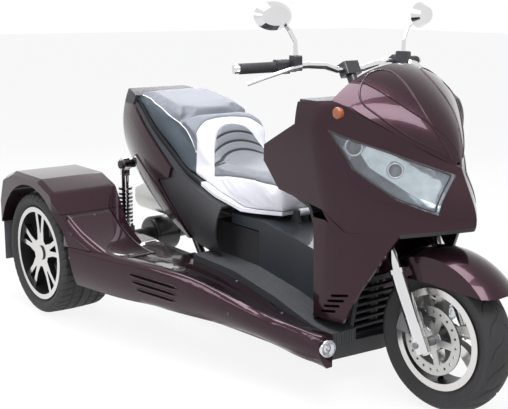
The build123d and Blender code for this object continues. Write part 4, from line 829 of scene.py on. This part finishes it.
# Each headlamp is a chromed bowl behind the clear cover. The bowl is the lamp's block opened
# at the cover, so only its back and walls are left.
def skin_of(name):
    """A node's surface, for setting small pieces on it."""
    copy = bmesh.new()
    copy.from_mesh(nodes[name].data)
    tree = BVHTree.FromBMesh(copy)
    copy.free()
    return tree


COVER_TOUCH = 0.0015
COVER_ALONG = 0.5
lens_skin = skin_of("headlamp_lenses")
bowl = bmesh.new()
bowl.from_mesh(nodes["headlamp_housings"].data)
bmesh.ops.remove_doubles(bowl, verts=bowl.verts[:], dist=0.0001)
bowl.normal_update()
fronts = []
for face in bowl.faces:
    nearest, lens_facing, triangle, distance = lens_skin.find_nearest(face.calc_center_median())
    if distance < COVER_TOUCH and abs(face.normal.dot(lens_facing)) > COVER_ALONG:
        fronts.append(face)
bmesh.ops.delete(bowl, geom=fronts, context="FACES")
bmesh.ops.reverse_faces(bowl, faces=bowl.faces[:])
mirror_bowl = paint("lamp_reflector")
flutes = mirror_bowl.noise(22.0)
mirror_bowl.surface({
    "Base Color": mirror_bowl.blend(flutes, colour(0.34, 0.37, 0.39), colour(0.82, 0.84, 0.85)),
    "Metallic": 1.0,
    "Roughness": 0.08 + 0.1 * flutes,
    "Normal": mirror_bowl.bump(flutes, 0.002),
})
bowls = piece("headlamp_bowls", bowl, mirror_bowl, "chassis")
bowl_edges = bowls.modifiers.new("bowl_edges", "EDGE_SPLIT")
bowl_edges.split_angle = SHARP_EDGE
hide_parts("headlamp_housings")


# Two round projectors stand in each bowl: a chromed steel ring, pressed round a dark glass
# dome.
def lathe(section, place, axis, steps, into):
    """Spins a section of (radius, height) points round an axis and adds it to a mesh."""
    turned = bmesh.new()
    line = [turned.verts.new((radius, 0.0, height)) for radius, height in section]
    edges = [turned.edges.new(pair) for pair in zip(line, line[1:])]
    bmesh.ops.spin(
        turned, geom=line + edges, cent=(0.0, 0.0, 0.0), axis=(0.0, 0.0, 1.0), dvec=(0.0, 0.0, 0.0),
        angle=2.0 * math.pi, steps=steps, use_merge=True,
    )
    bmesh.ops.remove_doubles(turned, verts=turned.verts[:], dist=0.00002)
    stand = Vector(axis).to_track_quat("Z", "Y").to_matrix().to_4x4()
    bmesh.ops.transform(turned, matrix=Matrix.Translation(Vector(place)) @ stand, verts=turned.verts[:])
    bmesh.ops.recalc_face_normals(turned, faces=turned.faces[:])
    gather(turned, into)


RING_STEPS = 48
GLASS_STEPS = 40
PROJECTORS = (
    # place on the cover, axis, ring radius, how deep it stands
    ((0.656, -0.232, 0.830), (0.62, -0.78, 0.02), 0.031, 0.026),
    ((0.763, -0.154, 0.766), (0.74, -0.66, 0.12), 0.026, 0.024),
)
rings = bmesh.new()
domes = bmesh.new()
for place, axis, radius, depth in PROJECTORS:
    for hand in (1.0, -1.0):
        aim = Vector((axis[0], hand * axis[1], axis[2])).normalized()
        seat_at = Vector((place[0], hand * place[1], place[2])) - aim * depth
        ring_section = (
            (0.70 * radius, -0.012), (0.72 * radius, 0.004), (0.80 * radius, 0.007), (0.93 * radius, 0.006),
            (radius, 0.001), (radius, -0.014),
        )
        lathe(ring_section, seat_at, aim, RING_STEPS, rings)
        dome_section = (
            (0.0, 0.007), (0.25 * radius, 0.0062), (0.48 * radius, 0.0035), (0.64 * radius, -0.001),
            (0.72 * radius, -0.006),
        )
        lathe(dome_section, seat_at, aim, GLASS_STEPS, domes)
piece("projector_rings", rings, chrome, "chassis")
glass = paint("projector_glass")
glass.surface({
    "Base Color": glass.blend(glass.noise(35.0), colour(0.018, 0.020, 0.024), colour(0.10, 0.105, 0.11)),
    "Roughness": 0.04 + 0.04 * glass.noise(80.0),
    "Coat Weight": 1.0,
})
piece("projector_domes", domes, glass, "chassis")

# Small domed screws of blackened steel, each with a round socket, hold the mudguards' sweeps
# and the pontoons.
SCREWS = (
    # place, axis
    ((-0.522, -0.570, 0.441), (0.60, 0.0, 0.80)),
    ((-0.522, -0.470, 0.441), (0.60, 0.0, 0.80)),
    ((-0.503, -0.597, 0.291), (0.23, -0.97, -0.07)),
    ((0.260, -0.406, 0.232), (0.20, -0.96, -0.19)),
    ((0.128, -0.267, 0.291), (0.13, 0.02, 0.99)),
    ((0.395, -0.282, 0.247), (0.15, 0.06, 0.99)),
)
SCREW_SECTION = (
    (0.0, 0.0006), (0.0022, 0.0006), (0.0024, 0.0024), (0.0040, 0.0022), (0.0055, 0.0012),
    (0.0060, -0.0008),
)
SCREW_STEPS = 20
screws = bmesh.new()
for place, axis in SCREWS:
    for hand in (1.0, -1.0):
        at = (place[0], hand * place[1], place[2])
        aim = (axis[0], hand * axis[1], axis[2])
        lathe(SCREW_SECTION, at, aim, SCREW_STEPS, screws)
piece("panel_screws", screws, steel, "chassis")

# The mudguard's foot sweeps down into the pontoon in one hollow curve: a moulded panel in body
# lacquer, laid over their joint and rounded down to both at its sides.
SWEEP_BACK = -0.535
SWEEP_LENGTH = 0.30
SWEEP_FOOT = 0.333
SWEEP_RISE = 0.118
SWEEP_INNER = 0.372
SWEEP_ROUND = 0.022
SWEEP_WALL = 0.003
SWEEP_OUTER = (
    (-0.535, 0.601), (-0.5, 0.593), (-0.45, 0.580), (-0.4, 0.563), (-0.35, 0.549), (-0.3, 0.536),
    (-0.235, 0.518),
)
sweeps = bmesh.new()
for hand in (-1.0, 1.0):
    panel = bmesh.new()
    bmesh.ops.create_grid(panel, x_segments=24, y_segments=32, size=0.5)
    for point in panel.verts:
        along = point.co.x + 0.5
        across = 0.5 - 0.5 * math.cos(math.pi * (point.co.y + 0.5))
        x = SWEEP_BACK + SWEEP_LENGTH * along
        width = read_line(SWEEP_OUTER, x) - SWEEP_INNER
        edge = min(across, 1.0 - across) * width
        shoulder = math.sqrt(1.0 - (1.0 - min(edge / SWEEP_ROUND, 1.0)) ** 2)
        z = SWEEP_FOOT + SWEEP_RISE * (1.0 - along) ** 2 * shoulder
        point.co = (x, hand * (SWEEP_INNER + width * across), z)
    panel.normal_update()
    if sum(face.normal.z for face in panel.faces) < 0.0:
        bmesh.ops.reverse_faces(panel, faces=panel.faces[:])
    bmesh.ops.solidify(panel, geom=panel.faces[:], thickness=SWEEP_WALL)
    gather(panel, sweeps)
piece("mudguard_sweeps", sweeps, maroon, "chassis")

# Three slots are pressed into the side of each pontoon, one over the other: a rolled lip of body lacquer
# round a thin near-black sheet laid just proud of the pontoon, which is painted shadow standing in for each
# slot's hollow.
SLOT_MID = (-0.075, 0.255)
SLOT_LENGTHS = (0.225, 0.205, 0.18)
SLOT_PITCH = 0.027
SLOT_HALF = 0.0075
SLOT_DROP = 0.0437
SLOT_LIP = 0.0028
SLOT_PROUD = 0.0008
SLOT_INSET = 0.003
SLOT_STEPS = 40
SLOT_BOX = (0.35, 0.8)
PONTOON_SIDE = 0.7
pontoon_skin = skin_of("pontoons")


def on_pontoon(hand, x, z, proud):
    """A point on a pontoon's side, or a little proud of it."""
    hit = pontoon_skin.ray_cast(Vector((x, hand * PONTOON_SIDE, z)), Vector((0.0, -hand, 0.0)))
    return hit[0] + hit[1] * proud


slot_lips = bmesh.new()
slot_shadow_sheets = bmesh.new()
for hand in (-1.0, 1.0):
    for row, length in enumerate(SLOT_LENGTHS):
        middle = SLOT_MID[1] + SLOT_PITCH * (1 - row)
        rim = []
        for step in range(SLOT_STEPS):
            turn = 2.0 * math.pi * step / SLOT_STEPS
            reach = math.copysign(abs(math.cos(turn)) ** SLOT_BOX[0], math.cos(turn)) * length / 2
            lift = math.copysign(abs(math.sin(turn)) ** SLOT_BOX[1], math.sin(turn)) * SLOT_HALF
            rim.append(on_pontoon(hand, SLOT_MID[0] + reach, middle - SLOT_DROP * reach + lift, 0.0))
        bead(rim, SLOT_LIP, True, slot_lips)
        shadow_sheet = bmesh.new()
        bmesh.ops.create_grid(shadow_sheet, x_segments=24, y_segments=2, size=1.0)
        for point in shadow_sheet.verts:
            reach = point.co.x * (length / 2 - SLOT_INSET)
            lift = point.co.y * SLOT_HALF * math.sqrt(1.0 - 0.8 * point.co.x ** 8)
            z = middle - SLOT_DROP * reach + lift
            point.co = on_pontoon(hand, SLOT_MID[0] + reach, z, SLOT_PROUD)
        shadow_sheet.normal_update()
        if hand * sum(face.normal.y for face in shadow_sheet.faces) < 0.0:
            bmesh.ops.reverse_faces(shadow_sheet, faces=shadow_sheet.faces[:])
        bmesh.ops.solidify(shadow_sheet, geom=shadow_sheet.faces[:], thickness=2.0 * SLOT_PROUD)
        gather(shadow_sheet, slot_shadow_sheets)
piece("pontoon_slot_lips", slot_lips, maroon, "chassis")
# A flat, matte, near-black sheet: painted shadow for the depth of each slot.
slot_shadow_finish = paint("slot_painted_shadow")
slot_shadow_finish.surface({
    "Base Color": slot_shadow_finish.blend(
        slot_shadow_finish.noise(120.0), colour(0.0015, 0.0012, 0.0013), colour(0.004, 0.003, 0.0033)
    ),
    "Roughness": 0.85,
    "Specular IOR Level": 0.05,
})
piece("pontoon_slot_painted_shadows", slot_shadow_sheets, slot_shadow_finish, "chassis")

# A raised bead, moulded in the dome and in the same lacquer, runs round each of its two
# eye-shaped fields and comes to a point at its foot.
DOME_BEAD = 0.0036
DOME_FIELD = (
    (0.649, -0.206, 0.984), (0.628, -0.178, 1.017), (0.616, -0.138, 1.045), (0.620, -0.099, 1.055),
    (0.637, -0.072, 1.055), (0.671, -0.063, 1.039), (0.714, -0.063, 1.008), (0.755, -0.066, 0.970),
    (0.796, -0.064, 0.922), (0.830, -0.050, 0.871), (0.856, -0.033, 0.824), (0.866, -0.022, 0.796),
    (0.844, -0.054, 0.825), (0.808, -0.095, 0.848), (0.770, -0.133, 0.877), (0.734, -0.165, 0.908),
    (0.700, -0.191, 0.937), (0.671, -0.209, 0.959),
)
dome_beads = bmesh.new()
for hand in (-1.0, 1.0):
    bead([Vector((x, -hand * y, z)) for x, y, z in DOME_FIELD], DOME_BEAD, True, dome_beads)
piece("dome_beads", dome_beads, maroon, "chassis")

# A black moulded gasket closes the edge of each headlamp cover, pressed in just inside the
# cover's outline.
GASKET = 0.0028
GASKET_STEPS = 7
GASKET_SIDE = 0.5
COVER_EDGE = (
    (0.592, 0.877), (0.735, 0.823), (0.874, 0.757), (0.870, 0.650), (0.775, 0.687), (0.658, 0.764),
)
gaskets = bmesh.new()
for hand in (-1.0, 1.0):
    edge = []
    for first, second in zip(COVER_EDGE, COVER_EDGE[1:] + COVER_EDGE[:1]):
        for step in range(GASKET_STEPS):
            x, z = Vector(first).lerp(Vector(second), step / GASKET_STEPS)
            hit = lens_skin.ray_cast(Vector((x, hand * GASKET_SIDE, z)), Vector((0.0, -hand, 0.0)))
            if hit[0] is not None and hand * hit[0].y > 0.0:
                edge.append(hit[0])
    bead(edge, GASKET, True, gaskets)
piece("headlamp_gaskets", gaskets, trim, "chassis")

# Each step lamp has a chromed ring round its clear lens and a small turned reflector behind
# it, fixed to the pontoon's front end.
LAMP_FACE = (0.6235, 0.292, 0.196)
LAMP_SECTION = (
    (0.0, 0.002), (0.006, 0.003), (0.007, 0.008), (0.009, 0.008), (0.010, 0.003), (0.022, 0.010),
    (0.0250, 0.0125), (0.0285, 0.0115), (0.0290, 0.007), (0.0285, 0.0),
)
lamp_rings = bmesh.new()
for hand in (-1.0, 1.0):
    at = (LAMP_FACE[0], hand * LAMP_FACE[1], LAMP_FACE[2])
    lathe(LAMP_SECTION, at, (1.0, 0.0, 0.0), RING_STEPS, lamp_rings)
piece("step_lamp_rings", lamp_rings, chrome, "chassis")

low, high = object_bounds()
